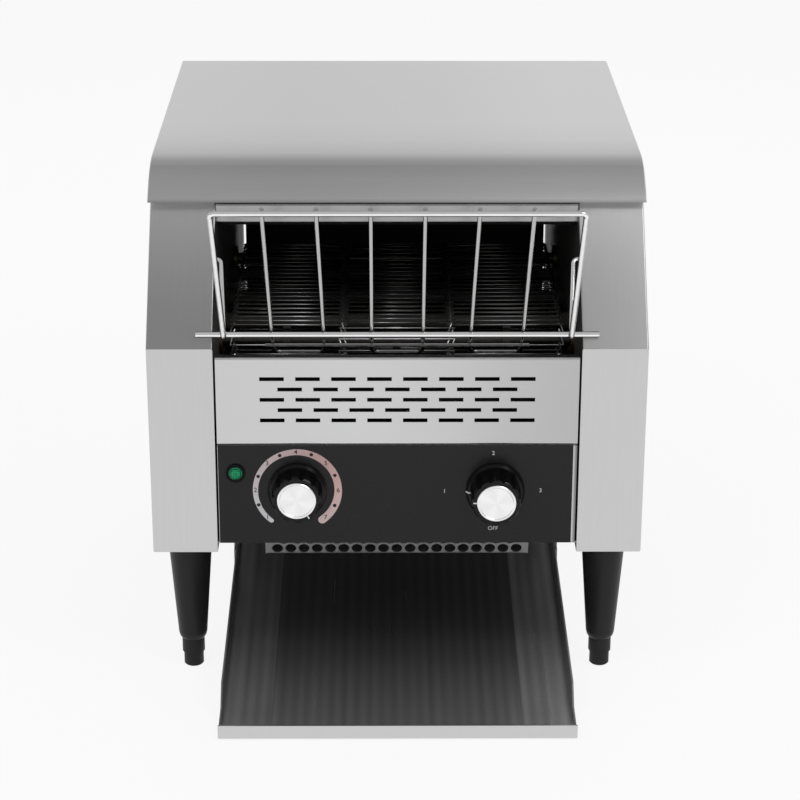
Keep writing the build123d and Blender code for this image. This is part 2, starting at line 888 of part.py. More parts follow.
def make_toast_tray():
    """Sloping tray with a low lip in front, low front corners and higher walls behind."""
    floor_back = tray_floor(tray_back)
    with BuildPart() as toast_tray:
        add(
            folded_sheet(
                [
                    (-tray_reach, tray_clearance + tray_lip),
                    (-tray_reach, tray_clearance),
                    (tray_back, floor_back),
                    (tray_back, floor_back + tray_back_wall),
                ],
                tray_half,
                thickness=sheet,
            )
        )
        with BuildSketch(side_plane(tray_half - sheet)):
            with BuildLine():
                Polyline(
                    yz(-tray_reach + bend, tray_clearance + tray_edge),
                    yz(-tray_reach + tray_edge, tray_clearance + bend),
                    yz(-tray_reach + tray_edge, tray_clearance + tray_lip - sheet),
                    yz(-tray_reach + tray_corner, tray_clearance + tray_low_wall),
                    yz(tray_ramp[0], tray_floor(tray_ramp[0]) + tray_low_wall),
                    yz(tray_ramp[1], tray_floor(tray_ramp[1]) + tray_wall),
                    yz(tray_back - tray_edge, floor_back + tray_wall),
                    yz(tray_back - tray_edge, floor_back + bend),
                    yz(tray_back - bend, tray_floor(tray_back - bend) + tray_edge),
                    close=True,
                )
            make_face()
        extrude(amount=sheet)
        mirror(about=Plane.YZ)
    return toast_tray.part


def make_tray_rail():
    """Angle runner hung from a housing by two straps: its ledge carries the edge of the tray."""
    rail_top = body_bottom - seat_gap

    def runner(depth, rise):
        return yz(depth, tray_floor(depth) - running_gap + rise)

    with BuildPart() as tray_rail:
        with BuildSketch(side_plane(rail_x)):
            with BuildLine():
                Polyline(
                    runner(rail_front, rail_web),
                    runner(rail_back, rail_web),
                    runner(rail_back, -rail_sheet),
                    runner(rail_front, -rail_sheet),
                    close=True,
                )
            make_face()
            for depth in rail_straps:
                with BuildLine():
                    Polyline(
                        yz(depth, rail_top),
                        yz(depth + rail_strap_width, rail_top),
                        runner(depth + rail_strap_width, 0),
                        runner(depth, 0),
                        close=True,
                    )
                make_face()
        extrude(amount=rail_sheet)
        with BuildSketch(side_plane(tray_half - rail_ledge)):
            with BuildLine():
                Polyline(
                    runner(rail_front, 0),
                    runner(rail_back, 0),
                    runner(rail_back, -rail_sheet),
                    runner(rail_front, -rail_sheet),
                    close=True,
                )
            make_face()
        extrude(amount=rail_x - tray_half + rail_ledge)
        for depth in rail_straps:
            with BuildSketch(Plane.XY.offset(rail_top)):
                with Locations((rail_x, y_at(depth))):
                    Rectangle(rail_flange, rail_strap_width, align=(Align.MIN, Align.MIN))
            extrude(amount=-rail_sheet)
    return tray_rail.part


# ---------------------------------------------------------------- belt, shafts and wheels
def around_loop(first, second, radius, travel, lift=0.0):
    """Point on a loop round two centres (y, z): out over the top, round, and back underneath."""
    span = math.dist(first, second)
    along = ((second[0] - first[0]) / span, (second[1] - first[1]) / span)
    up = (-along[1], along[0])
    arc = math.pi * radius
    travel = travel % (2 * span + 2 * arc)
    if travel < span:
        centre, angle = (first[0] + along[0] * travel, first[1] + along[1] * travel), 0.0
    elif travel < span + arc:
        centre, angle = second, (travel - span) / radius
    elif travel < 2 * span + arc:
        back = travel - span - arc
        centre, angle = (second[0] - along[0] * back, second[1] - along[1] * back), math.pi
    else:
        centre, angle = first, math.pi + (travel - 2 * span - arc) / radius
    reach = radius + lift
    return (
        centre[0] + reach * (up[0] * math.cos(angle) + along[0] * math.sin(angle)),
        centre[1] + reach * (up[1] * math.cos(angle) + along[1] * math.sin(angle)),
    )


front_shaft = yz(front_shaft_depth, shaft_z)
rear_shaft = yz(rear_shaft_depth, shaft_z)
belt_strands = belt_spans + belt_teeth


def strand_points(strand):
    """Corners of one belt wire: a hook at each edge and a crossed joint between sections."""
    flat = belt_flat / belt_pitch
    edge = (-belt_half, 0, 0)
    hook = [
        (-belt_half + 3.6, 1 + flat * 1.6, belt_crossing),
        (-belt_half + 2.4, 1 - flat, belt_crossing),
        edge,
    ]
    joint = [
        (belt_zig, 0, 0),
        (belt_zig / 3 + 0.35, 0.5 - flat, -belt_crossing),
        (belt_zig / 3 - 0.35, 0.5 + flat, -belt_crossing),
        (-belt_zig / 3 + 0.35, 1 - flat, belt_crossing),
        (-belt_zig / 3 - 0.35, 1 + flat, belt_crossing),
        (-belt_zig, 1.5, 0),
    ]
    left, right = belt_joints
    steps = hook
    steps = steps + [(left + x, pitches, rise) for x, pitches, rise in joint]
    steps = steps + [(right - x, pitches, rise) for x, pitches, rise in reversed(joint)]
    steps = steps + [(-x, pitches, rise) for x, pitches, rise in reversed(hook)]
    points = []
    for x, pitches, rise in steps:
        travel = (strand + pitches) * belt_pitch
        points.append((x, *around_loop(front_shaft, rear_shaft, belt_radius, travel, rise)))
    return points


def make_belt_strand(strand):
    with BuildPart() as belt_strand:
        with BuildLine() as wire:
            Polyline(*strand_points(strand))
        with BuildSketch(wire.line ^ 0):
            Rectangle(belt_wire, belt_wire)
        sweep(transition=Transition.RIGHT)
    return belt_strand.part


def make_conveyor_belt():
    """Wire belt: every wire hooks round its neighbour at both edges and at two joints."""
    return Compound([make_belt_strand(strand) for strand in range(belt_strands)])


wheel_tip_radius = belt_radius - belt_wire - running_gap


def make_belt_wheels(shaft_place):
    """Toothed wheels that carry the belt, three to a shaft."""
    with BuildPart() as belt_wheels:
        for place in wheel_places:
            with BuildSketch(side_plane(place - wheel_width / 2)):
                with Locations(shaft_place):
                    Circle(wheel_tip_radius)
                    with PolarLocations(wheel_tip_radius + tooth_gap_lift, belt_teeth):
                        Trapezoid(*wheel_gap, tooth_angle, rotation=90, mode=Mode.SUBTRACT)
                    Circle(shaft_radius + bore_gap, mode=Mode.SUBTRACT)
            extrude(amount=wheel_width)
    return belt_wheels.part


def make_shaft(shaft_place, right_end):
    with BuildPart() as shaft:
        with BuildSketch(side_plane(-shaft_end)):
            with Locations(shaft_place):
                Circle(shaft_radius)
        extrude(amount=shaft_end + right_end)
        chamfer(shaft.edges().filter_by(GeomType.CIRCLE), length=shaft_chamfer)
    return shaft.part


def make_shaft_bushes():
    """Flanged bushes in the inner walls."""
    with BuildPart() as bushes:
        for place in (front_shaft, rear_shaft):
            with BuildSketch(side_plane(housing_inner - bush_flange_width)):
                with Locations(place):
                    Circle(bush_flange)
                    Circle(shaft_radius + bore_gap, mode=Mode.SUBTRACT)
            extrude(amount=bush_flange_width)
            with BuildSketch(side_plane(housing_inner)):
                with Locations(place):
                    Circle(bush_radius)
                    Circle(shaft_radius + bore_gap, mode=Mode.SUBTRACT)
            extrude(amount=bush_length)
        mirror(about=Plane.YZ)
    return bushes.part


# ---------------------------------------------------------------- drive
chain_radius = chain_pitch / (2 * math.sin(math.pi / chain_teeth))
chain_span = (chain_links * chain_pitch - 2 * math.pi * chain_radius) / 2
motor_z = shaft_z - math.sqrt(chain_span**2 - (motor_depth - front_shaft_depth) ** 2)
motor_place = yz(motor_depth, motor_z)
chain_wheel_width = chain_inner_width - 2 * running_gap
hub_end = chain_plane + chain_wheel_width / 2 + chain_hub_length


def make_chain_wheel(place, bore):
    """Small chain wheel with a hub; its teeth stay short of the chain's rollers."""
    tip = chain_radius - chain_roller - running_gap
    with BuildPart() as chain_wheel:
        with BuildSketch(side_plane(chain_plane - chain_wheel_width / 2)):
            with Locations(place):
                Circle(tip)
                with PolarLocations(tip + tooth_gap_lift, chain_teeth):
                    Trapezoid(*chain_wheel_gap, tooth_angle, rotation=90, mode=Mode.SUBTRACT)
                Circle(bore + bore_gap, mode=Mode.SUBTRACT)
        extrude(amount=chain_wheel_width)
        with BuildSketch(side_plane(chain_plane + chain_wheel_width / 2)):
            with Locations(place):
                Circle(bore + chain_hub)
                Circle(bore + bore_gap, mode=Mode.SUBTRACT)
        extrude(amount=chain_hub_length)
    return chain_wheel.part


def draw_chain_loop(reach, mode=Mode.ADD):
    """Outline of the chain's run, at a reach from its roller centres, in the current sketch."""
    half_turn = math.pi * chain_radius
    corners = [
        around_loop(motor_place, front_shaft, chain_radius, travel, reach)
        for travel in (
            0.0,
            chain_span,
            chain_span + half_turn / 2,
            chain_span + half_turn,
            2 * chain_span + half_turn,
            2 * chain_span + 1.5 * half_turn,
        )
    ]
    with BuildLine() as run:
        Line(corners[0], corners[1])
        ThreePointArc(corners[1], corners[2], corners[3])
        Line(corners[3], corners[4])
        ThreePointArc(corners[4], corners[5], corners[0])
    make_face(run.line, mode=mode)


def make_drive_chain():
    """Closed chain between the motor and the front shaft: side plates and crosswise rollers."""
    plate_reach = chain_roller + chain_plate_margin
    with BuildPart() as drive_chain:
        for edge in (-chain_inner_width / 2 - chain_plate, chain_inner_width / 2):
            with BuildSketch(side_plane(chain_plane + edge)):
                draw_chain_loop(plate_reach)
                draw_chain_loop(-plate_reach, Mode.SUBTRACT)
            extrude(amount=chain_plate)
        with BuildSketch(side_plane(chain_plane - chain_inner_width / 2)):
            for link in range(chain_links):
                place = around_loop(motor_place, front_shaft, chain_radius, link * chain_pitch)
                with Locations(place):
                    RegularPolygon(chain_roller, 6)
        extrude(amount=chain_inner_width)
    return drive_chain.part


def make_gear_motor():
    """Slow geared motor flat against the right inner wall."""
    with BuildPart() as gear_motor:
        with BuildSketch(side_plane(inner_half)):
            with Locations(motor_place):
                Circle(motor_radius)
                SlotOverall(2 * motor_radius + motor_ear, motor_ear, rotation=90)
        extrude(amount=-gearbox_length)
        with BuildSketch(side_plane(inner_half - gearbox_length)):
            with Locations(motor_place):
                Circle(motor_radius - gearbox_step)
        extrude(amount=gearbox_length - motor_length)
        with BuildSketch(side_plane(inner_half)):
            with Locations(motor_place):
                Circle(output_radius + bore_gap)
        extrude(amount=-output_depth - running_gap, mode=Mode.SUBTRACT)
    return gear_motor.part


# ---------------------------------------------------------------- heaters
def make_heaters(depths, height):
    """Quartz tubes across the tunnel."""
    with BuildPart() as heaters:
        with BuildSketch(side_plane(-heater_half)):
            with Locations(*[yz(depth, height) for depth in depths]):
                Circle(heater_radius)
        extrude(amount=2 * heater_half)
    return heaters.part


def make_heater_end_caps():
    """Ceramic sockets through the inner walls, one at each end of each tube."""
    places = [yz(depth, upper_heater_z) for depth in upper_heater_depths]
    places += [yz(depth, shaft_z) for depth in lower_heater_depths]
    with BuildPart() as caps:
        with BuildSketch(side_plane(heater_half - heater_grip)):
            with Locations(*places):
                Circle(heater_cap_radius)
        extrude(amount=heater_grip + heater_cap_length)
        with BuildSketch(side_plane(heater_half - heater_grip)):
            with Locations(*places):
                Circle(heater_radius + bore_gap)
        extrude(amount=heater_grip + seat_gap, mode=Mode.SUBTRACT)
        mirror(about=Plane.YZ)
    return caps.part


# ---------------------------------------------------------------- loading rack
def make_rack_frame():
    """Heavy wire: top rail, sides, hooked legs back to the pivots, and the crossbar."""
    right = [
        (housing_inner + rack_pivot_reach, *yz(*rack_pivot)),
        (housing_inner - rack_pivot_margin, *yz(*rack_pivot)),
        (housing_inner - rack_foot_margin, *yz(*rack_foot)),
        (housing_inner - rack_top_margin, *yz(*rack_top)),
    ]
    left = [(-x, y, z) for x, y, z in reversed(right)]
    with BuildPart() as rack_frame:
        with BuildLine() as wire:
            FilletPolyline(*right, *left, radius=rack_bend)
        with BuildSketch(wire.line ^ 0):
            Circle(rack_wire / 2)
        sweep()
        with BuildSketch(side_plane(-rack_cross_half)):
            with Locations(yz(*rack_rest)):
                Circle(rack_wire / 2)
        extrude(amount=2 * rack_cross_half)
    return rack_frame.part


def rod_pairs():
    """Places of the rods across the rack, from left to right: low and high end of both in a pair."""
    inner, outer = zip(rack_rods_low, rack_rods_high)
    middle = (rack_middle_low, rack_middle_high)
    left, right = [-x for x in outer], [-x for x in inner]
    return [(left, right), ([-x for x in middle], middle), (inner, outer)]


def make_rack_rods():
    """Three bent wires, each a pair of rods joined by a loop under the crossbar, and a low bar."""
    lean = math.atan2(*rack_rise)
    reach = (rack_wire + rack_rod) / 2 + rack_rod_gap
    shift = (reach * math.cos(lean), reach * math.sin(lean))
    top = yz(rack_top[0] + shift[0], rack_top[1] + shift[1] + rack_rod_rise)
    knee = yz(rack_rest[0] + shift[0], rack_rest[1] + shift[1])
    low = yz(*rack_loop)
    with BuildPart() as rack_rods:
        for (first, first_top), (second, second_top) in rod_pairs():
            with BuildLine() as wire:
                FilletPolyline(
                    (first_top, *top),
                    (first, *knee),
                    (first, *low),
                    (second, *low),
                    (second, *knee),
                    (second_top, *top),
                    radius=rack_rod_bend,
                )
            with BuildSketch(wire.line ^ 0):
                Circle(rack_rod / 2)
            sweep()
        fall = math.atan2(knee[1] - low[1], low[0] - knee[0])
        drop = (rack_rod + rack_bar) / 2 - rack_bar_sink
        middle = ((knee[0] + low[0]) / 2, (knee[1] + low[1]) / 2)
        bar_half = rack_rods_low[1] + rack_bar_reach
        with BuildSketch(side_plane(-bar_half)):
            with Locations((middle[0] - drop * math.sin(fall), middle[1] - drop * math.cos(fall))):
                Circle(rack_bar / 2)
        extrude(amount=2 * bar_half)
    return rack_rods.part


# ---------------------------------------------------------------- controls
def make_knob(length, pointer):
    """Fluted knob on a flat skirt, turned about Y, with a raised pointer beside its cap."""
    back = -knob_stand_off
    shoulder = back - knob_skirt
    front = -length
    with BuildPart() as knob:
        with BuildSketch(Plane.XY):
            with BuildLine():
                Polyline(
                    (spindle_radius + bore_gap, back),
                    (knob_skirt_radius, back),
                    (knob_skirt_radius, back - knob_skirt_edge),
                    (knob_skirt_radius - knob_skirt_edge, shoulder),
                    (knob_grip_radius, shoulder),
                    (knob_tip_radius, front + knob_tip_edge),
                    (knob_tip_radius - knob_tip_edge, front),
                    (0, front),
                    (0, front + knob_wall),
                    (spindle_radius + bore_gap, front + knob_wall),
                    close=True,
                )
            make_face()
        revolve(axis=Axis.Y)
        with BuildSketch(Plane.XZ.offset(-shoulder)):
            with PolarLocations(
                knob_grip_radius + knob_flute_lift, knob_flutes,
                start_angle=90 - pointer + 180 / knob_flutes,
            ):
                RegularPolygon(knob_flute_radius, 6)
        extrude(amount=length, mode=Mode.SUBTRACT)
        turn = math.radians(pointer)
        ledge = knob_tip_radius - knob_tip_edge - cap_radius
        radius = cap_radius + ledge / 2
        with BuildSketch(Plane.XZ.offset(length)):
            with Locations(Location((radius * math.sin(turn), radius * math.cos(turn)), -pointer)):
                Rectangle(pointer_width, ledge - 2 * bore_gap)
        extrude(amount=pointer_rise)
    return knob.part


def make_knob_cap(length):
    """Spun metal disc with a raised rim, let onto the front of a knob of this length."""
    dish = -length - cap_height + pointer_rise
    rim = -length - cap_height
    with BuildPart() as cap:
        with BuildSketch(Plane.XY):
            with BuildLine():
                Polyline(
                    (0, -length),
                    (cap_radius, -length),
                    (cap_radius, dish),
                    (cap_radius - pointer_rise, rim),
                    (cap_radius - cap_rim, rim),
                    (cap_radius - cap_rim - pointer_rise, dish),
                    (0, dish),
                    close=True,
                )
            make_face()
        revolve(axis=Axis.Y)
    return cap.part


panel_back = overlay_sheet + sheet


def make_spindle(length):
    """Steel spindle from the knob back into its switch."""
    return turned_bar(spindle_radius, panel_back + spindle_depth, knob_wall - length + bore_gap)


def turned_bar(radius, back, front):
    """Round bar about the Y axis between two depths."""
    with BuildPart() as bar:
        with BuildSketch(Plane.XZ.offset(-back)):
            Circle(radius)
        extrude(amount=back - front)
    return bar.part


def make_speed_control():
    """Round speed regulator behind the dial."""
    with BuildPart() as speed_control:
        with BuildSketch(Plane.XZ.offset(-panel_back - seat_gap)):
            Circle(regulator_radius)
            with Locations((0, -regulator_terminal_drop)):
                Rectangle(*regulator_terminal)
        extrude(amount=-regulator_depth)
        with BuildSketch(Plane.XZ.offset(-panel_back)):
            Circle(spindle_radius + bore_gap)
        extrude(amount=-spindle_depth - running_gap, mode=Mode.SUBTRACT)
    return speed_control.part


def make_selector_switch():
    """Stacked rotary switch behind the right knob, with screw terminals along its sides."""
    with BuildPart() as selector_switch:
        with BuildSketch(Plane.XZ.offset(-panel_back - seat_gap)):
            RectangleRounded(switch_side, switch_side, switch_corner)
        extrude(amount=-switch_depth)
        for deck in switch_decks:
            with BuildSketch(Plane.XZ.offset(-panel_back - deck)):
                with GridLocations(switch_side + 2 * switch_tab_reach, switch_tab_pitch, 2, 2):
                    Rectangle(*switch_tab)
            extrude(amount=-switch_deck)
        with BuildSketch(Plane.XZ.offset(-panel_back)):
            Circle(spindle_radius + bore_gap)
        extrude(amount=-spindle_depth - running_gap, mode=Mode.SUBTRACT)
    return selector_switch.part


def make_lamp_bezel():
    """Black lamp body with a collar on the panel."""
    bore = lamp_radius - lamp_wall
    with BuildPart() as lamp_bezel:
        with BuildSketch(Plane.XZ):
            Circle(lamp_radius + lamp_collar)
            Circle(bore, mode=Mode.SUBTRACT)
        extrude(amount=lamp_collar_height)
        with BuildSketch(Plane.XZ):
            Circle(lamp_radius)
            Circle(bore, mode=Mode.SUBTRACT)
        extrude(amount=-lamp_depth)
        with BuildSketch(Plane.XZ.offset(-lamp_depth)):
            Circle(lamp_radius)
        extrude(amount=-lamp_base)
    return lamp_bezel.part


def make_lamp_lens():
    """Green lens standing a little proud of its collar."""
    radius = lamp_radius - lamp_wall - bore_gap
    with BuildPart() as lamp_lens:
        with BuildSketch(Plane.XY):
            with BuildLine():
                crown = TangentArc((0, -lens_crown), (radius, -lens_edge), tangent=(1, 0))
                Polyline(crown @ 1, (radius, lens_depth), (0, lens_depth), crown @ 0)
            make_face()
        revolve(axis=Axis.Y)
    return lamp_lens.part


def make_terminal_block():
    """Terminal block on the back of the control compartment, slotted between its screws."""
    width, height, depth = terminal_size
    slot_width, slot_depth = terminal_slot
    back = shelf_back - thin_sheet - seat_gap
    with BuildPart() as terminal_block:
        with BuildSketch(face_plane(back)):
            with Locations((terminal_x, terminal_z)):
                Rectangle(width, height)
        extrude(amount=depth)
        with BuildSketch(face_plane(back - depth + slot_depth)):
            with Locations((terminal_x, terminal_z)):
                with GridLocations(terminal_rib_pitch, 0, 4, 1):
                    Rectangle(slot_width, height)
        extrude(amount=slot_depth, mode=Mode.SUBTRACT)
    return terminal_block.part


# ---------------------------------------------------------------- cooling fan
fan_place = (fan_x, y_at(shelf_back - bend - seat_gap - fan_side / 2))
fan_base_z = shelf_lip_z + thin_sheet + seat_gap
fan_hub_z = fan_base_z + fan_arm + fan_hub_gap


def make_fan_frame():
    """Square fan housing with a round throat and a hub with a pin on four arms."""
    throat = fan_side / 2 - fan_wall
    screw_pitch = fan_side - 2 * fan_screw_inset
    with BuildPart() as fan_frame:
        with BuildSketch(Plane.XY.offset(fan_base_z)):
            with Locations(fan_place):
                RectangleRounded(fan_side, fan_side, fan_corner)
                Circle(throat, mode=Mode.SUBTRACT)
                with GridLocations(screw_pitch, screw_pitch, 2, 2):
                    Circle(fan_screw_radius, mode=Mode.SUBTRACT)
        extrude(amount=fan_height)
        with BuildSketch(Plane.XY.offset(fan_base_z)):
            with Locations(fan_place):
                Circle(fan_hub_radius)
                for turn in (45, 135):
                    with Locations(Rotation(0, 0, turn)):
                        Rectangle(2 * throat + fan_wall / 2, fan_arm_width)
        extrude(amount=fan_arm)
        with BuildSketch(Plane.XY.offset(fan_base_z + fan_arm)):
            with Locations(fan_place):
                Circle(fan_pin_radius)
        extrude(amount=fan_pin_length)
    return fan_frame.part


def make_fan_impeller():
    """Bored hub with leaning blades, turning on the pin of the fan frame."""
    hub_height = fan_height - fan_hub_drop
    root_radius = fan_hub_radius - fan_hub_gap
    blade_reach = fan_side / 2 - fan_wall - fan_blade_gap
    with BuildPart() as fan_impeller:
        with BuildSketch(Plane.XY.offset(fan_hub_z)):
            with Locations(fan_place):
                Circle(fan_hub_radius)
        extrude(amount=hub_height)
        for blade in range(fan_blades):
            turn = 2 * math.pi / fan_blades * blade
            root = Plane(
                origin=(*fan_place, fan_hub_z + hub_height / 2),
                x_dir=(-math.sin(turn), math.cos(turn), 0),
                z_dir=(math.cos(turn), math.sin(turn), 0),
            )
            for radius, (width, lean) in (
                (root_radius, fan_blade_root),
                (blade_reach, fan_blade_tip),
            ):
                with BuildSketch(root.offset(radius)):
                    Rectangle(width, fan_blade_thickness, rotation=lean)
            loft()
        with BuildSketch(Plane.XY.offset(fan_hub_z)):
            with Locations(fan_place):
                Circle(fan_pin_radius + bore_gap)
        extrude(amount=fan_pin_length - fan_hub_gap + running_gap, mode=Mode.SUBTRACT)
    return fan_impeller.part


# ---------------------------------------------------------------- rear gland and screws
def make_cord_gland():
    """Moulded cord gland through the rear panel, with its nut inside."""
    with BuildPart() as cord_gland:
        with BuildSketch(Plane.XY):
            with BuildLine():
                Polyline(
                    (gland_bore, -gland_nut),
                    (gland_radius, -gland_nut),
                    (gland_radius, 0),
                    (gland_nut, 0),
                    (gland_nut, gland_collar),
                    (gland_radius + sheet, gland_collar + sheet),
                    (gland_radius - sheet, gland_reach),
                    (gland_bore, gland_reach),
                    close=True,
                )
            make_face()
        revolve(axis=Axis.Y)
        with BuildSketch(Plane.XZ.offset(sheet + running_gap)):
            RegularPolygon(gland_nut, 6)
            Circle(gland_bore, mode=Mode.SUBTRACT)
        extrude(amount=gland_nut_height)
    return cord_gland.part


def make_screw():
    """Low screw head with a bevelled edge, turned about Z."""
    with BuildPart() as screw:
        with BuildSketch(Plane.XZ):
            with BuildLine():
                Polyline(
                    (0, screw_height),
                    (screw_radius - screw_height, screw_height),
                    (screw_radius - screw_edge, screw_height - screw_edge),
                    (screw_radius, screw_edge),
                    (screw_radius, 0),
                    (0, 0),
                    close=True,
                )
            make_face()
        revolve(axis=Axis.Z)
    return screw.part


def make_screws(locations):
    head = make_screw()
    return Compound([location * head for location in locations])


def placed(part, x, height):
    """Put a piece made about the Y axis at a place on the front face."""
    return Location((x, y_at(0), height)) * part


# ---------------------------------------------------------------- the whole toaster
side_cover = make_side_cover()
inner_wall = make_inner_wall()
tray_rail = make_tray_rail()
for side_name, turn_over in (("right", False), ("left", True)):
    for name, part in (
        ("side_cover", side_cover),
        ("inner_wall", inner_wall),
        ("tray_rail", tray_rail),
    ):
        save(f"{name}_{side_name}", mirrored(part) if turn_over else part)

save("top_cover", make_top_cover())
save("rear_panel", make_rear_panel())
save("rear_floor", make_rear_floor())
save("front_strip", make_front_strip())
save("front_panel", make_front_panel())
save("control_panel", make_control_panel())
save("control_overlay", make_control_overlay())
save("control_box", make_control_box())
save("lower_reflector", make_lower_reflector())
save("upper_reflector", make_upper_reflector())
save("toast_chute", make_toast_chute())
save("vent_grille", make_vent_grille())
save("toast_tray", make_toast_tray())

foot = make_foot()
foot_tip = make_foot_tip()
for depth_name, depth in zip(("front", "rear"), foot_depths):
    for side_name, x in (("left", -foot_x), ("right", foot_x)):
        place = Location((x, y_at(depth), 0))
        save(f"foot_{depth_name}_{side_name}", place * foot)
        save(f"foot_tip_{depth_name}_{side_name}", place * foot_tip)

save("conveyor_belt", make_conveyor_belt())
save("drive_wheels", make_belt_wheels(front_shaft))
save("idler_wheels", make_belt_wheels(rear_shaft))
save("drive_shaft", make_shaft(front_shaft, hub_end + shaft_chamfer))
save("idler_shaft", make_shaft(rear_shaft, shaft_end))
save("shaft_bushes", make_shaft_bushes())
save("shaft_chain_wheel", make_chain_wheel(front_shaft, shaft_radius))
save("motor_chain_wheel", make_chain_wheel(motor_place, output_radius))
save(
    "motor_output_shaft",
    round_bar(motor_depth, motor_z, output_radius, inner_half - output_depth, hub_end),
)
save("drive_chain", make_drive_chain())
save("gear_motor", make_gear_motor())
save("upper_heaters", make_heaters(upper_heater_depths, upper_heater_z))
save("lower_heaters", make_heaters(lower_heater_depths, shaft_z))
save("heater_end_caps", make_heater_end_caps())
save("rack_frame", make_rack_frame())
save("rack_rods", make_rack_rods())

for control, x, length, pointer in (
    ("speed", dial_x, speed_knob_length, dial_pointer),
    ("selector", selector_x, selector_knob_length, selector_pointer),
):
    save(f"{control}_knob", placed(make_knob(length, pointer), x, knob_z))
    save(f"{control}_knob_cap", placed(make_knob_cap(length), x, knob_z))
    save(f"{control}_spindle", placed(make_spindle(length), x, knob_z))
save("speed_control", placed(make_speed_control(), dial_x, knob_z))
save("selector_switch", placed(make_selector_switch(), selector_x, knob_z))
save("lamp_bezel", placed(make_lamp_bezel(), lamp_x, lamp_z))
save("lamp_lens", placed(make_lamp_lens(), lamp_x, lamp_z))
save("terminal_block", make_terminal_block())
save("fan_frame", make_fan_frame())
save("fan_impeller", make_fan_impeller())
save("cord_gland", Location((gland_x, y_at(body_depth), gland_z)) * make_cord_gland())

side_screw_top_z = slope_top_z - side_screw_inset
side_screw_low_z = body_bottom + side_screw_low
side_screw_back = body_depth - side_screw_inset
side_screw_places = (
    (side_screw_inset, side_screw_low_z),
    (side_screw_inset, slope_foot_z - side_screw_inset),
    (body_depth / 2, side_screw_low_z),
    (side_screw_back, side_screw_low_z),
    (side_screw_back, side_screw_top_z),
    (slope_run + 2 * side_screw_inset, side_screw_top_z),
)
side_screws = [
    Location((turn * half_body, y_at(depth), height), (0, turn * 90, 0))
    for turn in (-1, 1)
    for depth, height in side_screw_places
]
rear_screw_x = rear_half - rear_screw_inset
rear_screws = [
    Location((x, y_at(body_depth), height), (-90, 0, 0))
    for x in (-rear_screw_x, 0, rear_screw_x)
    for height in (body_bottom + rear_screw_low, slope_top_z - rear_screw_low)
]
save("side_cover_screws", make_screws(side_screws))
save("rear_panel_screws", make_screws(rear_screws))
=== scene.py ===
import math

import bpy
from mathutils import Matrix, Vector


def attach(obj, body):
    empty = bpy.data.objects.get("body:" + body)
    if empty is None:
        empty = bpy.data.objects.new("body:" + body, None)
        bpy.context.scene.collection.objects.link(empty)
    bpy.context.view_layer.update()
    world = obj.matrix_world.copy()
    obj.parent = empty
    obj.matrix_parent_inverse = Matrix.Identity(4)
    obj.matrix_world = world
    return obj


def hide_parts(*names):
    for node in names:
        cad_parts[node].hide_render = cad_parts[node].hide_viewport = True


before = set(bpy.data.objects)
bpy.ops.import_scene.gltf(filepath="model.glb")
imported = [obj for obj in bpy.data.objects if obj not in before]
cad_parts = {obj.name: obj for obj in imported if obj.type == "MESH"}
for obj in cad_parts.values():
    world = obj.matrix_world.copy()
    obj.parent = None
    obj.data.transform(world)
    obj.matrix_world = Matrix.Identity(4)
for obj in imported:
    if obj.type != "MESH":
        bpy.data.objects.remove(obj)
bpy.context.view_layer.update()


# ------------------------------------------------------------------ view and studio
# A long lens stands a little above the toaster and just left of its middle. Soft boxes, a
# white sweep and a pale table light it. Sizes are in metres, or in millimetres times MM.
MM = 0.001
FRONT = -169.25 * MM        # front face of the side housings

lens_place = Vector((-0.01146, FRONT - 1.64116, 0.8792))
lens_pitch = math.radians(21.5)
lens_yaw = math.radians(-0.4)
lens_roll = math.radians(0.1)

camera_data = bpy.data.cameras.new("camera")
camera_data.lens = 107.8
camera_data.sensor_width = 36.0
camera_data.shift_x = 0.00325
camera_data.clip_start = 0.05
camera_data.clip_end = 40.0
camera = bpy.data.objects.new("camera", camera_data)
bpy.context.scene.collection.objects.link(camera)
aim = Matrix.Rotation(lens_yaw, 4, "Z") @ Matrix.Rotation(math.pi / 2 - lens_pitch, 4, "X")
camera.matrix_world = Matrix.Translation(lens_place) @ aim @ Matrix.Rotation(lens_roll, 4, "Z")
bpy.context.scene.camera = camera
bpy.context.scene.view_settings.view_transform = "Standard"


class Signal:
    """One output of a shader node. Arithmetic on it adds Math nodes to the same finish."""

    def __init__(self, tree, socket=None):
        self.tree = tree
        self.socket = socket

    def node(self, kind, settings=None, inputs=None, output=0):
        """Adds one node: its settings first, then a value or a link for each input."""
        made = self.tree.nodes.new(kind)
        for name, value in (settings or {}).items():
            if name == "stops":
                elements = made.color_ramp.elements
                elements[0].position = value[0][0]
                elements[1].position = value[-1][0]
                for place, _ in value[1:-1]:
                    elements.new(place)
                for element, (_, shade) in zip(elements, value):
                    element.color = (*shade, 1.0)
            else:
                setattr(made, name, value)
        for key, value in (inputs or {}).items():
            if isinstance(value, Signal):
                self.tree.links.new(value.socket, made.inputs[key])
            else:
                made.inputs[key].default_value = value
        return Signal(self.tree, made.outputs[output])

    def maths(self, operation, *values):
        """Adds one Math node."""
        return self.node("ShaderNodeMath", {"operation": operation}, dict(enumerate(values)))

    def __add__(self, other):
        return self.maths("ADD", self, other)

    def __sub__(self, other):
        return self.maths("SUBTRACT", self, other)

    def __rsub__(self, other):
        return self.maths("SUBTRACT", other, self)

    def __mul__(self, other):
        return self.maths("MULTIPLY", self, other)

    def __truediv__(self, other):
        return self.maths("DIVIDE", self, other)

    def __lt__(self, other):
        return self.maths("LESS_THAN", self, other)

    def __gt__(self, other):
        return self.maths("GREATER_THAN", self, other)

    __radd__ = __add__
    __rmul__ = __mul__


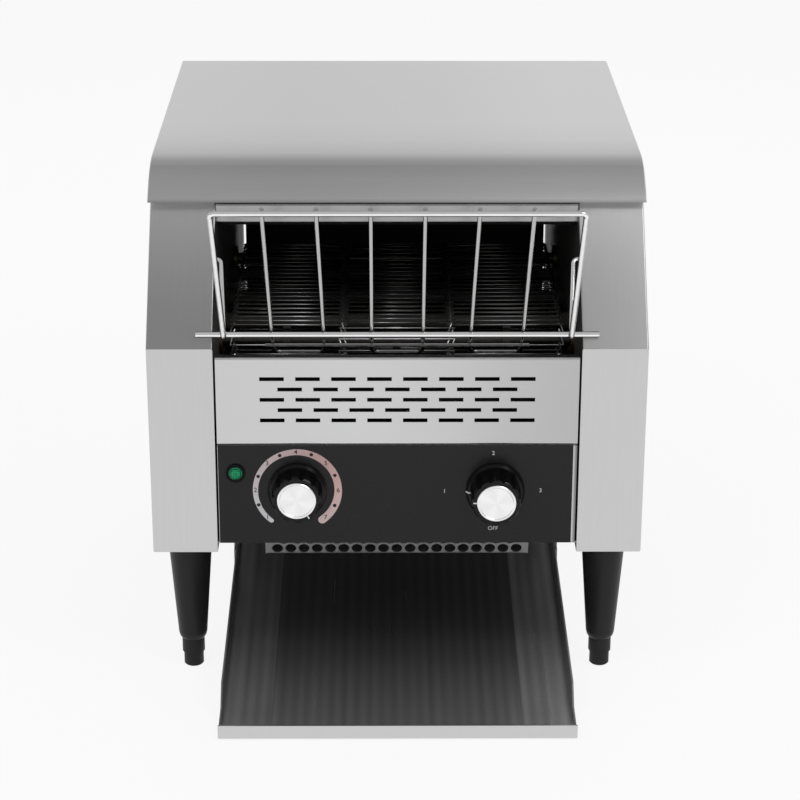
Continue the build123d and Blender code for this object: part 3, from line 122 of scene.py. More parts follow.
# A white sweep stands behind the toaster and the room above and in front is darker, so bent
# sheet shades from light to dark. The lens itself sees plain white.
world = bpy.data.worlds.new("studio")
bpy.context.scene.world = world
world.use_nodes = True
sky = Signal(world.node_tree)
room_shade = 0.46           # how bright the room looks in polished sheet
flat_sky = 0.5              # even light that falls on the toaster from all round
sweep_front = -0.25         # the sweep fades in between these two directions along Y
sweep_back = 0.35
sweep_low = 0.24            # and fades out upward between these two
sweep_high = 0.85
direction = sky.node("ShaderNodeTexCoord", output="Generated")
along_room = sky.node("ShaderNodeSeparateXYZ", inputs={0: direction}, output="Y")
height = sky.node("ShaderNodeSeparateXYZ", inputs={0: direction}, output="Z")
backness = sky.node(
    "ShaderNodeMapRange",
    {"interpolation_type": "SMOOTHSTEP"},
    {"Value": along_room, "From Min": sweep_front, "From Max": sweep_back},
)
lowness = sky.node(
    "ShaderNodeMapRange",
    {"interpolation_type": "SMOOTHSTEP"},
    {"Value": height, "From Min": sweep_high, "From Max": sweep_low},
)
sweep = sky.maths("MAXIMUM", backness, height < 0.0) * lowness
mirrored_sky = room_shade + (1.0 - room_shade) * sweep
glossy = sky.node("ShaderNodeLightPath", output="Is Glossy Ray")
plain = sky.maths(
    "MAXIMUM",
    sky.node("ShaderNodeLightPath", output="Is Camera Ray"),
    sky.node("ShaderNodeLightPath", output="Is Transmission Ray"),
)
unseen = glossy * mirrored_sky + (1.0 - glossy) * flat_sky
brightness = plain + (1.0 - plain) * unseen
backdrop = world.node_tree.nodes["Background"]
world.node_tree.links.new(brightness.socket, backdrop.inputs["Strength"])
backdrop.inputs["Color"].default_value = (1.0, 1.0, 1.0, 1.0)


def add_soft_box(name, place, target, width, depth, power):
    """A rectangular lamp that looks at a point, with its power in watts."""
    lamp = bpy.data.lights.new(name, "AREA")
    lamp.shape = "RECTANGLE"
    lamp.size = width
    lamp.size_y = depth
    lamp.energy = power
    box = bpy.data.objects.new(name, lamp)
    bpy.context.scene.collection.objects.link(box)
    box.location = place
    box.rotation_euler = (Vector(target) - Vector(place)).to_track_quat("-Z", "Y").to_euler()
    return box


key = add_soft_box("key_soft_box", (-0.9, -1.2, 2.0), (0, 0, 0.2), 1.0, 0.8, 9)
key.visible_glossy = False
add_soft_box("fill_soft_box", (1.0, -1.0, 1.6), (0, 0, 0.2), 0.8, 0.8, 7)
back = add_soft_box("back_soft_box", (0.2, 1.5, 1.6), (0, 0, 0.3), 1.4, 0.8, 6)
back.visible_glossy = False

# A wide pale table top. It takes soft shadows and looks white to the lens and to the metal.
floor_half = 12.0
white_to_lens = 0.88        # how far the table shows as plain white; the rest takes shadow
white_to_metal = 0.85
floor_mesh = bpy.data.meshes.new("floor")
floor_mesh.from_pydata(
    [(-floor_half, -floor_half, 0), (floor_half, -floor_half, 0),
     (floor_half, floor_half, 0), (-floor_half, floor_half, 0)],
    [],
    [(0, 1, 2, 3)],
)
floor = bpy.data.objects.new("floor", floor_mesh)
bpy.context.scene.collection.objects.link(floor)
floor_material = bpy.data.materials.new("pale_table")
floor_material.use_nodes = True
floor_mesh.materials.append(floor_material)
table = Signal(floor_material.node_tree)
table_shader = floor_material.node_tree.nodes["Principled BSDF"]
table_shader.inputs["Base Color"].default_value = (0.9, 0.9, 0.9, 1.0)
table_shader.inputs["Roughness"].default_value = 0.9
table_shader.inputs["Specular IOR Level"].default_value = 0.1
bright = table.node("ShaderNodeEmission", inputs={"Color": (1.0, 1.0, 1.0, 1.0)})
camera_rays = table.node("ShaderNodeLightPath", output="Is Camera Ray")
glossy_rays = table.node("ShaderNodeLightPath", output="Is Glossy Ray")
whiteness = camera_rays * white_to_lens + glossy_rays * white_to_metal
mixed = table.node(
    "ShaderNodeMixShader",
    inputs={0: whiteness, 1: Signal(table.tree, table_shader.outputs[0]), 2: bright},
)
floor_output = floor_material.node_tree.nodes["Material Output"]
table.tree.links.new(mixed.socket, floor_output.inputs["Surface"])


# ------------------------------------------------------------------ stainless housings and cover
# Side pans, rear panel, lid, cross strip and front panels: folded stainless sheet, 0.8 and
# 1.2 mm thick, with a brushed face and plated screws. The grain runs across the lid and the
# front, and upright on the housings.
def new_finish(name, fixed):
    """A material whose shader holds these fixed values, and the start of its nodes."""
    material = bpy.data.materials.new(name)
    material.use_nodes = True
    shader = material.node_tree.nodes["Principled BSDF"]
    for key, value in fixed.items():
        shader.inputs[key].default_value = value
    return material, Signal(material.node_tree)


def lay_on(material, varying):
    """Leads each varying signal to the shader's input of that name."""
    shader = material.node_tree.nodes["Principled BSDF"]
    for key, signal in varying.items():
        material.node_tree.links.new(signal.socket, shader.inputs[key])


def dress(material, *names):
    """Gives CAD nodes a finish."""
    for name in names:
        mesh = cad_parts[name].data
        mesh.materials.clear()
        mesh.materials.append(material)


def blend_colours(start, factor, dark, light):
    """A colour between two, by a factor from 0 to 1."""
    return start.node(
        "ShaderNodeMix",
        {"data_type": "RGBA"},
        {0: factor, 6: (*dark, 1.0), 7: (*light, 1.0)},
        output=2,
    )


def shade_along(start, colour, place, axis, stops):
    """Multiplies a colour by greys that stand at distances (mm) along one axis of the part."""
    first, last = stops[0][0] * MM, stops[-1][0] * MM
    along = start.node("ShaderNodeSeparateXYZ", inputs={0: place}, output=axis)
    share = (along - first) / (last - first)
    steps = [((at * MM - first) / (last - first), (grey, grey, grey)) for at, grey in stops]
    greys = start.node("ShaderNodeValToRGB", {"stops": steps}, {0: share})
    return start.node(
        "ShaderNodeMix",
        {"data_type": "RGBA", "blend_type": "MULTIPLY"},
        {0: 1.0, 6: colour, 7: greys},
        output=2,
    )


def brushed_sheet(
    name, grain_scale, dark, light, roughness, roughness_swing=0.08, bump=0.05, shading=()
):
    """Brushed metal: fine lines over broad, faint clouds, with painted light and shade along any
    axes given.
    """
    material, start = new_finish(name, {"Metallic": 1.0})
    place = start.node("ShaderNodeTexCoord", output="Object")
    stretched = start.node("ShaderNodeMapping", inputs={"Vector": place, "Scale": grain_scale})
    lines = start.node(
        "ShaderNodeTexNoise", inputs={"Vector": stretched, "Scale": 1.0, "Detail": 3.0}
    )
    clouds = start.node(
        "ShaderNodeTexNoise", inputs={"Vector": place, "Scale": 9.0, "Detail": 2.0}
    )
    tone = lines * 0.6 + clouds * 0.4
    colour = blend_colours(start, tone, dark, light)
    for axis, stops in shading:
        colour = shade_along(start, colour, place, axis, stops)
    relief = start.node(
        "ShaderNodeBump", inputs={"Strength": bump, "Distance": 0.0003, "Height": lines}
    )
    lay_on(
        material,
        {
            "Base Color": colour,
            "Roughness": tone * roughness_swing + (roughness - roughness_swing / 2),
            "Normal": relief,
        },
    )
    return material


across = (12.0, 1400.0, 1400.0)         # grain lines per metre along X, Y and Z
upright = (1400.0, 26.0, 26.0)
steel_dark = (0.58, 0.58, 0.582)
steel_light = (0.68, 0.68, 0.68)
front_mm = FRONT / MM

# Painted reflection and shade: the rolled nose of the lid is darkened below its flat top and at
# its cut lower edge, and the lid is lighter towards the right.
cover_steel = brushed_sheet(
    "cover_steel", across, steel_dark, steel_light, 0.34,
    shading=[
        ("Y", [(front_mm + 66, 0.5), (front_mm + 69, 0.98), (front_mm + 84, 0.93),
               (front_mm + 94, 0.82), (front_mm + 100, 0.77), (front_mm + 122, 0.74),
               (front_mm + 135, 0.82), (front_mm + 158, 0.9), (front_mm + 210, 0.96)]),
        ("X", [(-180, 0.98), (-80, 0.94), (40, 0.98), (130, 1.06), (185, 1.06)]),
    ],
)
dress(cover_steel, "top_cover")
# Painted shade: the cross strip under the nose of the lid is coloured darker than the other sheet.
strip_steel = brushed_sheet("strip_steel", across, (0.32, 0.32, 0.32), (0.43, 0.43, 0.43), 0.2)
dress(strip_steel, "front_strip")
# Painted shade and reflection: the front panel darkens from left to right.
panel_steel = brushed_sheet(
    "panel_steel", across, (0.63, 0.63, 0.63), (0.7, 0.7, 0.7), 0.3,
    shading=[("X", [(-135, 0.97), (-30, 1.0), (40, 0.92), (80, 0.84), (135, 0.77)])],
)
dress(panel_steel, "front_panel")
# Painted shade: the control panel's right edge, in the gap beside the housing, is darkened.
control_steel = brushed_sheet(
    "control_steel", across, (0.6, 0.6, 0.6), (0.68, 0.68, 0.68), 0.3,
    shading=[("X", [(-135, 0.97), (131.7, 0.95), (132.1, 0.35), (135, 0.33)])],
)
dress(control_steel, "control_panel")
screw_steel = brushed_sheet(
    "screw_steel", (500.0, 500.0, 500.0), (0.62, 0.62, 0.62), (0.78, 0.78, 0.78), 0.25
)
dress(screw_steel, "side_cover_screws", "rear_panel_screws")
housing_steel = brushed_sheet("housing_steel", upright, steel_dark, steel_light, 0.33)
dress(housing_steel, "side_cover_left", "side_cover_right", "rear_panel")

# Painted shade and reflection: the leaning fronts are darkened towards their lower end, by the
# mouth of the tunnel.
lean_limit = 0.3            # a leaning face looks at least this much up and forward
sheet_start = Signal(housing_steel.node_tree)
sheet_place = sheet_start.node("ShaderNodeTexCoord", output="Object")
facing = sheet_start.node("ShaderNodeNewGeometry", output="Normal")
facing_up = sheet_start.node("ShaderNodeSeparateXYZ", inputs={0: facing}, output="Z")
facing_front = sheet_start.node("ShaderNodeSeparateXYZ", inputs={0: facing}, output="Y")
plain_sheet = housing_steel.node_tree.nodes["Principled BSDF"].inputs["Base Color"].links[0]
plain_colour = Signal(housing_steel.node_tree, plain_sheet.from_socket)
leaning_painted_shade = shade_along(
    sheet_start, plain_colour, sheet_place, "Z",
    [(270, 0.66), (300, 0.7), (320, 0.76), (335, 0.84), (350, 0.93), (362, 1.0)],
)
leaning = (facing_up > lean_limit) * (facing_front < -lean_limit)
lay_on(
    housing_steel,
    {
        "Base Color": sheet_start.node(
            "ShaderNodeMix",
            {"data_type": "RGBA"},
            {0: leaning, 6: plain_colour, 7: leaning_painted_shade},
            output=2,
        )
    },
)


# ------------------------------------------------------------------ inside of the tunnel
# Plain inner sheet, coloured much darker than the outside as painted shade: reflectors and chute
# darkest, inner walls less so, and below them the control box, the rear floor and the tray's
# rails.
def smoked_sheet(name, dark, light, roughness):
    """Sheet with uneven brown-grey clouds, like heat stains."""
    material, start = new_finish(name, {"Metallic": 0.85})
    place = start.node("ShaderNodeTexCoord", output="Object")
    stain = start.node(
        "ShaderNodeTexNoise", inputs={"Vector": place, "Scale": 14.0, "Detail": 4.0}
    )
    fine = start.node(
        "ShaderNodeTexNoise", inputs={"Vector": place, "Scale": 260.0, "Detail": 2.0}
    )
    tone = stain * 0.75 + fine * 0.25
    relief = start.node(
        "ShaderNodeBump", inputs={"Strength": 0.06, "Distance": 0.0003, "Height": fine}
    )
    lay_on(
        material,
        {
            "Base Color": blend_colours(start, tone, dark, light),
            "Roughness": stain * 0.2 + (roughness - 0.1),
            "Normal": relief,
        },
    )
    return material


tunnel_sheet = smoked_sheet("tunnel_sheet", (0.01, 0.01, 0.009), (0.03, 0.029, 0.027), 0.45)
wall_sheet = smoked_sheet("wall_sheet", (0.12, 0.118, 0.115), (0.3, 0.295, 0.288), 0.4)
underside_sheet = smoked_sheet("underside_sheet", (0.12, 0.12, 0.12), (0.22, 0.22, 0.22), 0.42)
dress(tunnel_sheet, "upper_reflector", "lower_reflector", "toast_chute")
dress(wall_sheet, "inner_wall_left", "inner_wall_right")
dress(underside_sheet, "control_box", "rear_floor", "tray_rail_left", "tray_rail_right")


# ------------------------------------------------------------------ toast tray
# One folded sheet on two rails, with a bright low front lip; its grain runs front to back. The
# floor
# carries painted reflection and shade: darker behind the lip, lighter at its sides, with faint
# painted streaks.
lip_depth = 91.5 * MM       # the lip lies this far in front of the housings, and beyond
painted_streak_pitch = 0.0094         # from one painted reflection streak to the next
seam_x = 0.0935             # a crease runs along each side of the floor
seam_half = 0.0006
painted_streak_tone = 0.35            # how far the painted reflection streaks and the painted shadow in the crease change the tone
crease_painted_shade = 0.6
border_painted_lift = 1.1           # painted reflection: the border outside the crease lightens by this to the rear
border_front = FRONT - 60 * MM
border_rear = FRONT + 80 * MM
tray_steel, tray_start = new_finish("tray_steel", {})
tray_place = tray_start.node("ShaderNodeTexCoord", output="Object")
tray_streaks = tray_start.node(
    "ShaderNodeTexNoise",
    inputs={
        "Vector": tray_start.node(
            "ShaderNodeMapping", inputs={"Vector": tray_place, "Scale": (190.0, 3.0, 3.0)}
        ),
        "Scale": 1.0,
        "Detail": 3.0,
    },
)
tray_relief = tray_start.node(
    "ShaderNodeBump", inputs={"Strength": 0.1, "Distance": 0.0004, "Height": tray_streaks}
)
tray_x = tray_start.node("ShaderNodeSeparateXYZ", inputs={0: tray_place}, output="X")
tray_y = tray_start.node("ShaderNodeSeparateXYZ", inputs={0: tray_place}, output="Y")
tray_lip = tray_y < FRONT - lip_depth
# Painted reflection: faint evenly spaced streaks run along the floor.
painted_streaks = tray_start.maths("SINE", tray_x * (math.tau / painted_streak_pitch)) * painted_streak_tone
off_middle = tray_start.maths("ABSOLUTE", tray_x)
# Painted shadow: a thin darker line along each crease.
tray_seam = tray_start.maths("ABSOLUTE", off_middle - seam_x) < seam_half
depth_share = tray_start.node(
    "ShaderNodeMapRange",
    inputs={"Value": tray_y, "From Min": border_front, "From Max": border_rear},
)
# Painted reflection: the border outside each crease lightens towards the rear.
border_painted_light = (off_middle > seam_x) * depth_share * border_painted_lift + 1.0
tray_tone = tray_streaks + painted_streaks - tray_seam * crease_painted_shade
floor_colour = blend_colours(tray_start, tray_tone, (0.44, 0.44, 0.44), (0.59, 0.59, 0.59))
# Painted reflection and shade: the floor darkens from the lip towards its middle and is lighter at
# its sides.
floor_colour = shade_along(
    tray_start, floor_colour, tray_place, "Y",
    [(front_mm - 94, 1.0), (front_mm - 72, 0.94), (front_mm - 41, 0.8), (front_mm - 9, 0.62),
     (front_mm + 24, 0.42), (front_mm + 58, 0.36), (front_mm + 93, 0.44),
     (front_mm + 200, 0.5)],
)
floor_colour = shade_along(
    tray_start, floor_colour, tray_place, "X",
    [(-122, 0.42), (-97, 0.42), (-93, 0.4), (0, 0.37), (80, 0.44), (93, 0.52), (96, 0.62),
     (110, 0.54), (122, 0.66)],
)
floor_colour = tray_start.node(
    "ShaderNodeVectorMath", {"operation": "SCALE"}, {0: floor_colour, "Scale": border_painted_light}
)
lay_on(
    tray_steel,
    {
        "Base Color": tray_start.node(
            "ShaderNodeMix",
            {"data_type": "RGBA"},
            {0: tray_lip, 6: floor_colour, 7: (0.62, 0.62, 0.62, 1.0)},
            output=2,
        ),
        "Metallic": tray_lip * 0.5 + 0.5,
        "Roughness": tray_streaks * 0.16 + 0.16,
        "Normal": tray_relief,
    },
)
dress(tray_steel, "toast_tray")


# ------------------------------------------------------------------ vent grille
# Perforated trough under the controls, of sheet with a grey baked finish. The fan behind it
# draws cooling air in through its holes.
def speckled_plastic(
    name, colour, roughness, swing=0.012, grain=900.0, bump=0.12, metallic=0.0, shine=0.25
):
    """Even moulded or painted surface with a fine grain and slight mottling."""
    material, start = new_finish(name, {"Metallic": metallic, "Specular IOR Level": shine})
    place = start.node("ShaderNodeTexCoord", output="Object")
    fine = start.node(
        "ShaderNodeTexNoise", inputs={"Vector": place, "Scale": grain, "Detail": 2.0}
    )
    broad = start.node(
        "ShaderNodeTexNoise", inputs={"Vector": place, "Scale": 25.0, "Detail": 2.0}
    )
    relief = start.node(
        "ShaderNodeBump", inputs={"Strength": bump, "Distance": 0.0001, "Height": fine}
    )
    lighter = tuple(value + swing for value in colour)
    lay_on(
        material,
        {
            "Base Color": blend_colours(start, fine * 0.5 + broad * 0.5, colour, lighter),
            "Roughness": broad * 0.12 + (roughness - 0.06),
            "Normal": relief,
        },
    )
    return material


grille_grey = speckled_plastic(
    "grille_grey", (0.5, 0.5, 0.505), 0.4, 0.07, 500.0, 0.1, metallic=0.75
)
dress(grille_grey, "vent_grille")


# ------------------------------------------------------------------ control film and its marks
# Satin black polyester film on the steel control panel, screen printed with the browning
# ring, its numbers and the selector's marks. The print is a thin raised layer of ink.
film_black = speckled_plastic("film_black", (0.009, 0.009, 0.009), 0.26, 0.003, 1500.0, 0.04)
dress(film_black, "control_overlay")

dial_x = -74.6              # knob axes, in millimetres like all sizes of the print
selector_x = 73.2
knob_z = 160.2
print_height = 0.05
second_print = print_height + 0.03      # ink that lies over the ring
ring_outer = 33.3
ring_inner_start = 29.9     # the ring widens from its start to its end
ring_inner_end = 27.2
ring_start = -141.4         # degrees clockwise from the top
ring_end = 142.6
ring_steps = 96
end_steps = 14              # round each end of the ring
number_turns = (-134.0, -89.6, -45.5, -1.5, 44.3, 90.0, 136.5)
number_size = 5.0
dot_turns = (-112.0, -68.6, -24.4, 20.3, 66.6, 114.0)
dot_radius = 1.4
dot_steps = 12
selector_marks = (          # each with its place from the selector's axis
    ("top", "2", -1.8, 30.0),
    ("left", "1", -37.8, -0.7),
    ("right", "3", 33.9, -0.3),
    ("off", "OFF", -1.2, -31.2),
)
mark_size = 4.4
stroke_gain = 0.00005       # thickens the strokes of the characters, in metres


def on_panel(x, z, lift=print_height):
    """Point in front of the control film, in metres, from its place in millimetres."""
    return (x * MM, FRONT - lift * MM, z * MM)


def round_dial(centre_x, radius, degrees):
    """Place on a circle round a knob, with degrees clockwise from the top."""
    turn = math.radians(degrees)
    return (centre_x + radius * math.sin(turn), knob_z + radius * math.cos(turn))


def add_mesh(name, points, faces, material, body):
    """A thin flat piece of its own that rides on a body."""
    mesh = bpy.data.meshes.new(name)
    mesh.from_pydata(points, [], faces)
    mesh.update()
    mesh.materials.append(material)
    piece = bpy.data.objects.new(name, mesh)
    bpy.context.scene.collection.objects.link(piece)
    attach(piece, body)


ring_ink, ring_ink_start = new_finish("ring_ink", {"Roughness": 0.45})
ring_place = ring_ink_start.node("ShaderNodeTexCoord", output="Object")
ring_x = ring_ink_start.node("ShaderNodeSeparateXYZ", inputs={0: ring_place}, output="X")
ring_z = ring_ink_start.node("ShaderNodeSeparateXYZ", inputs={0: ring_place}, output="Z")
turn_share = ring_ink_start.maths(
    "ARCTAN2", ring_x - dial_x * MM, ring_z - knob_z * MM
) / (2 * math.pi) + 0.5
ring_shade = ring_ink_start.node(
    "ShaderNodeValToRGB",
    {
        "stops": [
            (0.1, (0.78, 0.8, 0.82)),
            (0.26, (0.68, 0.63, 0.66)),
            (0.5, (0.55, 0.4, 0.4)),
            (0.62, (0.58, 0.38, 0.36)),
            (0.76, (0.74, 0.5, 0.47)),
            (0.9, (0.78, 0.62, 0.6)),
        ]
    },
    {0: turn_share},
)
lay_on(ring_ink, {"Base Color": ring_shade})

ring_points = []
ring_faces = []
for step in range(ring_steps + 1):
    share = step / ring_steps
    angle = ring_start + (ring_end - ring_start) * share
    inner = ring_inner_start + (ring_inner_end - ring_inner_start) * share
    ring_points.append(on_panel(*round_dial(dial_x, inner, angle)))
    ring_points.append(on_panel(*round_dial(dial_x, ring_outer, angle)))
for step in range(ring_steps):
    first = 2 * step
    ring_faces.append((first, first + 1, first + 3, first + 2))
for end, inner, outward in (
    (ring_start, ring_inner_start, -1),
    (ring_end, ring_inner_end, 1),
):
    middle = round_dial(dial_x, (inner + ring_outer) / 2, end)
    half = (ring_outer - inner) / 2
    rim = []
    for step in range(end_steps + 1):
        around = math.radians(end) + outward * math.pi * step / end_steps
        rim.append(len(ring_points))
        ring_points.append(
            on_panel(middle[0] + half * math.sin(around), middle[1] + half * math.cos(around))
        )
    ring_faces.append(tuple(rim if outward < 0 else reversed(rim)))
add_mesh("browning_ring", ring_points, ring_faces, ring_ink, "housing")

dark_ink = speckled_plastic("dark_ink", (0.02, 0.02, 0.02), 0.5, 0.004)
white_ink = speckled_plastic("white_ink", (0.62, 0.62, 0.62), 0.5, 0.03)


def add_words(name, words, x, z, size, material):
    """Printed characters, centred on a place of the control film."""
    curve = bpy.data.curves.new(name, "FONT")
    curve.body = words
    curve.size = size * MM
    curve.align_x = "CENTER"
    curve.align_y = "CENTER"
    curve.offset = stroke_gain
    words_object = bpy.data.objects.new(name + "_text", curve)
    bpy.context.scene.collection.objects.link(words_object)
    mesh = bpy.data.meshes.new_from_object(words_object)
    bpy.data.objects.remove(words_object)
    mesh.materials.clear()
    mesh.materials.append(material)
    place = Matrix.Translation(on_panel(x, z, second_print))
    mesh.transform(place @ Matrix.Rotation(math.pi / 2, 4, "X"))
    piece = bpy.data.objects.new(name, mesh)
    bpy.context.scene.collection.objects.link(piece)
    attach(piece, "housing")


def ring_middle(degrees):
    """Radius halfway between the ring's edges."""
    share = (degrees - ring_start) / (ring_end - ring_start)
    return (ring_outer + ring_inner_start + (ring_inner_end - ring_inner_start) * share) / 2


for number, angle in enumerate(number_turns, 1):
    x, z = round_dial(dial_x, ring_middle(angle), angle)
    add_words(f"browning_number_{number}", str(number), x, z, number_size, dark_ink)

dot_points = []
dot_faces = []
for angle in dot_turns:
    x, z = round_dial(dial_x, ring_middle(angle), angle)
    rim = []
    for step in range(dot_steps):
        around = math.tau * step / dot_steps
        rim.append(len(dot_points))
        side = x + dot_radius * math.sin(around)
        rise = z + dot_radius * math.cos(around)
        dot_points.append(on_panel(side, rise, second_print))
    dot_faces.append(tuple(rim))
add_mesh("browning_dots", dot_points, dot_faces, dark_ink, "housing")

for position, words, side, rise in selector_marks:
    x, z = selector_x + side, knob_z + rise
    add_words(f"selector_mark_{position}", words, x, z, mark_size, white_ink)


# ------------------------------------------------------------------ knobs
# Fluted black thermoplastic with a spun aluminium disc let into the front.
# A white dash on the disc's edge and one on the skirt show where the knob points.
knob_black = speckled_plastic(
    "knob_black", (0.003, 0.003, 0.003), 0.16, 0.002, 700.0, 0.03, shine=0.22
)
dress(knob_black, "speed_knob", "selector_knob")

dash_white = speckled_plastic("dash_white", (0.86, 0.86, 0.86), 0.5, 0.03)
dash_half = 0.5             # half the dash's width
dial_points_to = 147.0      # degrees clockwise from the top
selector_points_to = -90.0
skirt_dash = [(18.9, 5.05), (20.4, 5.05), (22.0, 2.46)]     # radius and lift of each bend
speed_face_dash = [(14.5, 19.65), (17.1, 19.65)]
selector_face_dash = [(14.5, 24.45), (17.1, 24.45)]


def add_dash(name, centre_x, degrees, stations, body):
    """White dash along a knob's radius through these (radius, lift) stations, in millimetres."""
    points = []
    for radius, lift in stations:
        x, z = round_dial(centre_x, radius, degrees)
        side_x = dash_half * math.cos(math.radians(degrees))
        side_z = dash_half * math.sin(math.radians(degrees))
        points.append(on_panel(x - side_x, z + side_z, lift))
        points.append(on_panel(x + side_x, z - side_z, lift))
    faces = [
        (2 * step, 2 * step + 2, 2 * step + 3, 2 * step + 1)
        for step in range(len(stations) - 1)
    ]
    add_mesh(name, points, faces, dash_white, body)


add_dash("speed_dash", dial_x, dial_points_to, speed_face_dash, "speed_dial")
add_dash("speed_skirt_dash", dial_x, dial_points_to, skirt_dash, "speed_dial")
add_dash("selector_dash", selector_x, selector_points_to, selector_face_dash, "selector")
add_dash("selector_skirt_dash", selector_x, selector_points_to, skirt_dash, "selector")

# The spinning lines of each disc run round its own knob's axis.
spin_lines_per_metre = 2600.0
cap_sectors = 4.0           # light sectors round a disc
spun_cap, cap_start = new_finish("spun_cap", {"Metallic": 1.0})
cap_place = cap_start.node("ShaderNodeTexCoord", output="Object")
cap_x = cap_start.node("ShaderNodeSeparateXYZ", inputs={0: cap_place}, output="X")
cap_z = cap_start.node("ShaderNodeSeparateXYZ", inputs={0: cap_place}, output="Z")
cap_side = (cap_x > 0.0) * (selector_x - dial_x) * MM
from_axis_x = cap_x - cap_side - dial_x * MM
from_axis_z = cap_z - knob_z * MM
rings = cap_start.maths("SQRT", from_axis_x * from_axis_x + from_axis_z * from_axis_z)
spin_lines = cap_start.node(
    "ShaderNodeTexNoise",
    {"noise_dimensions": "1D"},
    {"W": rings * spin_lines_per_metre, "Scale": 1.0},
)
round_axis = cap_start.maths("ARCTAN2", from_axis_x, from_axis_z)
# Painted highlight: lighter sectors round the disc stand in for the sheen of spun metal.
painted_sheen = cap_start.maths("SINE", round_axis * cap_sectors)
spin_relief = cap_start.node(
    "ShaderNodeBump", inputs={"Strength": 0.05, "Distance": 0.0002, "Height": spin_lines}
)
lay_on(
    spun_cap,
    {
        "Base Color": blend_colours(
            cap_start, painted_sheen * 0.3 + 0.6, (0.86, 0.86, 0.86), (0.97, 0.97, 0.97)
        ),
        "Roughness": spin_lines * 0.1 + 0.22,
        "Normal": spin_relief,
    },
)
dress(spun_cap, "speed_knob_cap", "selector_knob_cap")


# ------------------------------------------------------------------ signal lamp
# Green moulded lens with a grid of fine facets that scatter the lamp's light, in a black
# bezel that snaps into the control panel.
lens_green, lens_start = new_finish("lens_green", {"Specular IOR Level": 0.2})
lens_spot = lens_start.node("ShaderNodeTexCoord", output="Object")
facets = lens_start.node(
    "ShaderNodeTexVoronoi",
    {"voronoi_dimensions": "3D", "feature": "F1"},
    {"Vector": lens_spot, "Scale": 750.0, "Randomness": 0.0},
    output="Distance",
)
facet_relief = lens_start.node(
    "ShaderNodeBump", inputs={"Strength": 0.5, "Distance": 0.0004, "Height": facets}
)
lay_on(
    lens_green,
    {
        "Base Color": blend_colours(
            lens_start, facets * 1.6, (0.03, 0.7, 0.3), (0.0, 0.05, 0.02)
        ),
        "Roughness": facets * 0.2 + 0.2,
        "Normal": facet_relief,
    },
)
dress(lens_green, "lamp_lens")
bezel_black = speckled_plastic("bezel_black", (0.003, 0.003, 0.003), 0.4, 0.002, shine=0.1)
dress(bezel_black, "lamp_bezel")


# ------------------------------------------------------------------ switches, fan and gland
# Plain black mouldings that stay out of sight: the speed control and selector switch behind
# the film, the fan over the grille, the terminal block, and the gland in the rear panel.
moulded_black = speckled_plastic("moulded_black", (0.016, 0.016, 0.016), 0.42, 0.008)
dress(moulded_black, "speed_control", "selector_switch", "fan_frame",
      "fan_impeller", "cord_gland", "terminal_block")


# ------------------------------------------------------------------ conveyor belt
# Drawn stainless wire. Each wire hooks round the next one at both edges and crosses it at
# two joints, and the whole row closes into a band round the two shafts.
belt_half = 127.0           # half the belt's width, in millimetres like all its sizes
belt_pitch = 9.5
belt_teeth = 8              # pitches round one wheel
belt_spans = 42             # pitches of the two straight runs together
belt_wire = 1.4
belt_top_z = 262.0          # wire centres of the carrying run
belt_joints = (-41.0, 41.0)
joint_half = 3.0
joint_rise = 1.65           # lift of one wire over or under its neighbour
joint_flat = 1.4 / belt_pitch       # half a crossing's level stretch, in pitches
joint_lean = 0.35           # a crossing slants by this much to each side
hook_end = 3.6              # how far the hook's end and its bend lie in from the edge
hook_bend = 2.4
hook_grip = 1.6             # how far the hook reaches past its crossing, in flats
belt_radius = belt_teeth * belt_pitch / math.tau
belt_span = belt_spans * belt_pitch / 2
belt_front_y = front_mm + 82.6      # axis of the front shaft
belt_axis_z = belt_top_z - belt_radius


def round_belt(travel, lift):
    """Side-view place on the band: back over the top, round, and forward underneath."""
    arc = math.pi * belt_radius
    travel = travel % (2 * belt_span + 2 * arc)
    reach = belt_radius + lift
    if travel < belt_span:
        return belt_front_y + travel, belt_axis_z + reach
    if travel < belt_span + arc:
        turn = (travel - belt_span) / belt_radius
        return (belt_front_y + belt_span + reach * math.sin(turn),
                belt_axis_z + reach * math.cos(turn))
    if travel < 2 * belt_span + arc:
        return belt_front_y + 2 * belt_span + arc - travel, belt_axis_z - reach
    turn = math.pi + (travel - 2 * belt_span - arc) / belt_radius
    return belt_front_y + reach * math.sin(turn), belt_axis_z + reach * math.cos(turn)


# Each bend of a wire is its place across the belt, its pitches along it and its lift.
hook = [
    (-belt_half + hook_end, 1 + joint_flat * hook_grip, joint_rise),
    (-belt_half + hook_bend, 1 - joint_flat, joint_rise),
    (-belt_half, 0.0, 0.0),
]
joint = [
    (joint_half, 0.0, 0.0),
    (joint_half / 3 + joint_lean, 0.5 - joint_flat, -joint_rise),
    (joint_half / 3 - joint_lean, 0.5 + joint_flat, -joint_rise),
    (-joint_half / 3 + joint_lean, 1 - joint_flat, joint_rise),
    (-joint_half / 3 - joint_lean, 1 + joint_flat, joint_rise),
    (-joint_half, 1.5, 0.0),
]
wire_steps = list(hook)
wire_steps += [(belt_joints[0] + x, along, rise) for x, along, rise in joint]
wire_steps += [(belt_joints[1] - x, along, rise) for x, along, rise in reversed(joint)]
wire_steps += [(-x, along, rise) for x, along, rise in reversed(hook)]

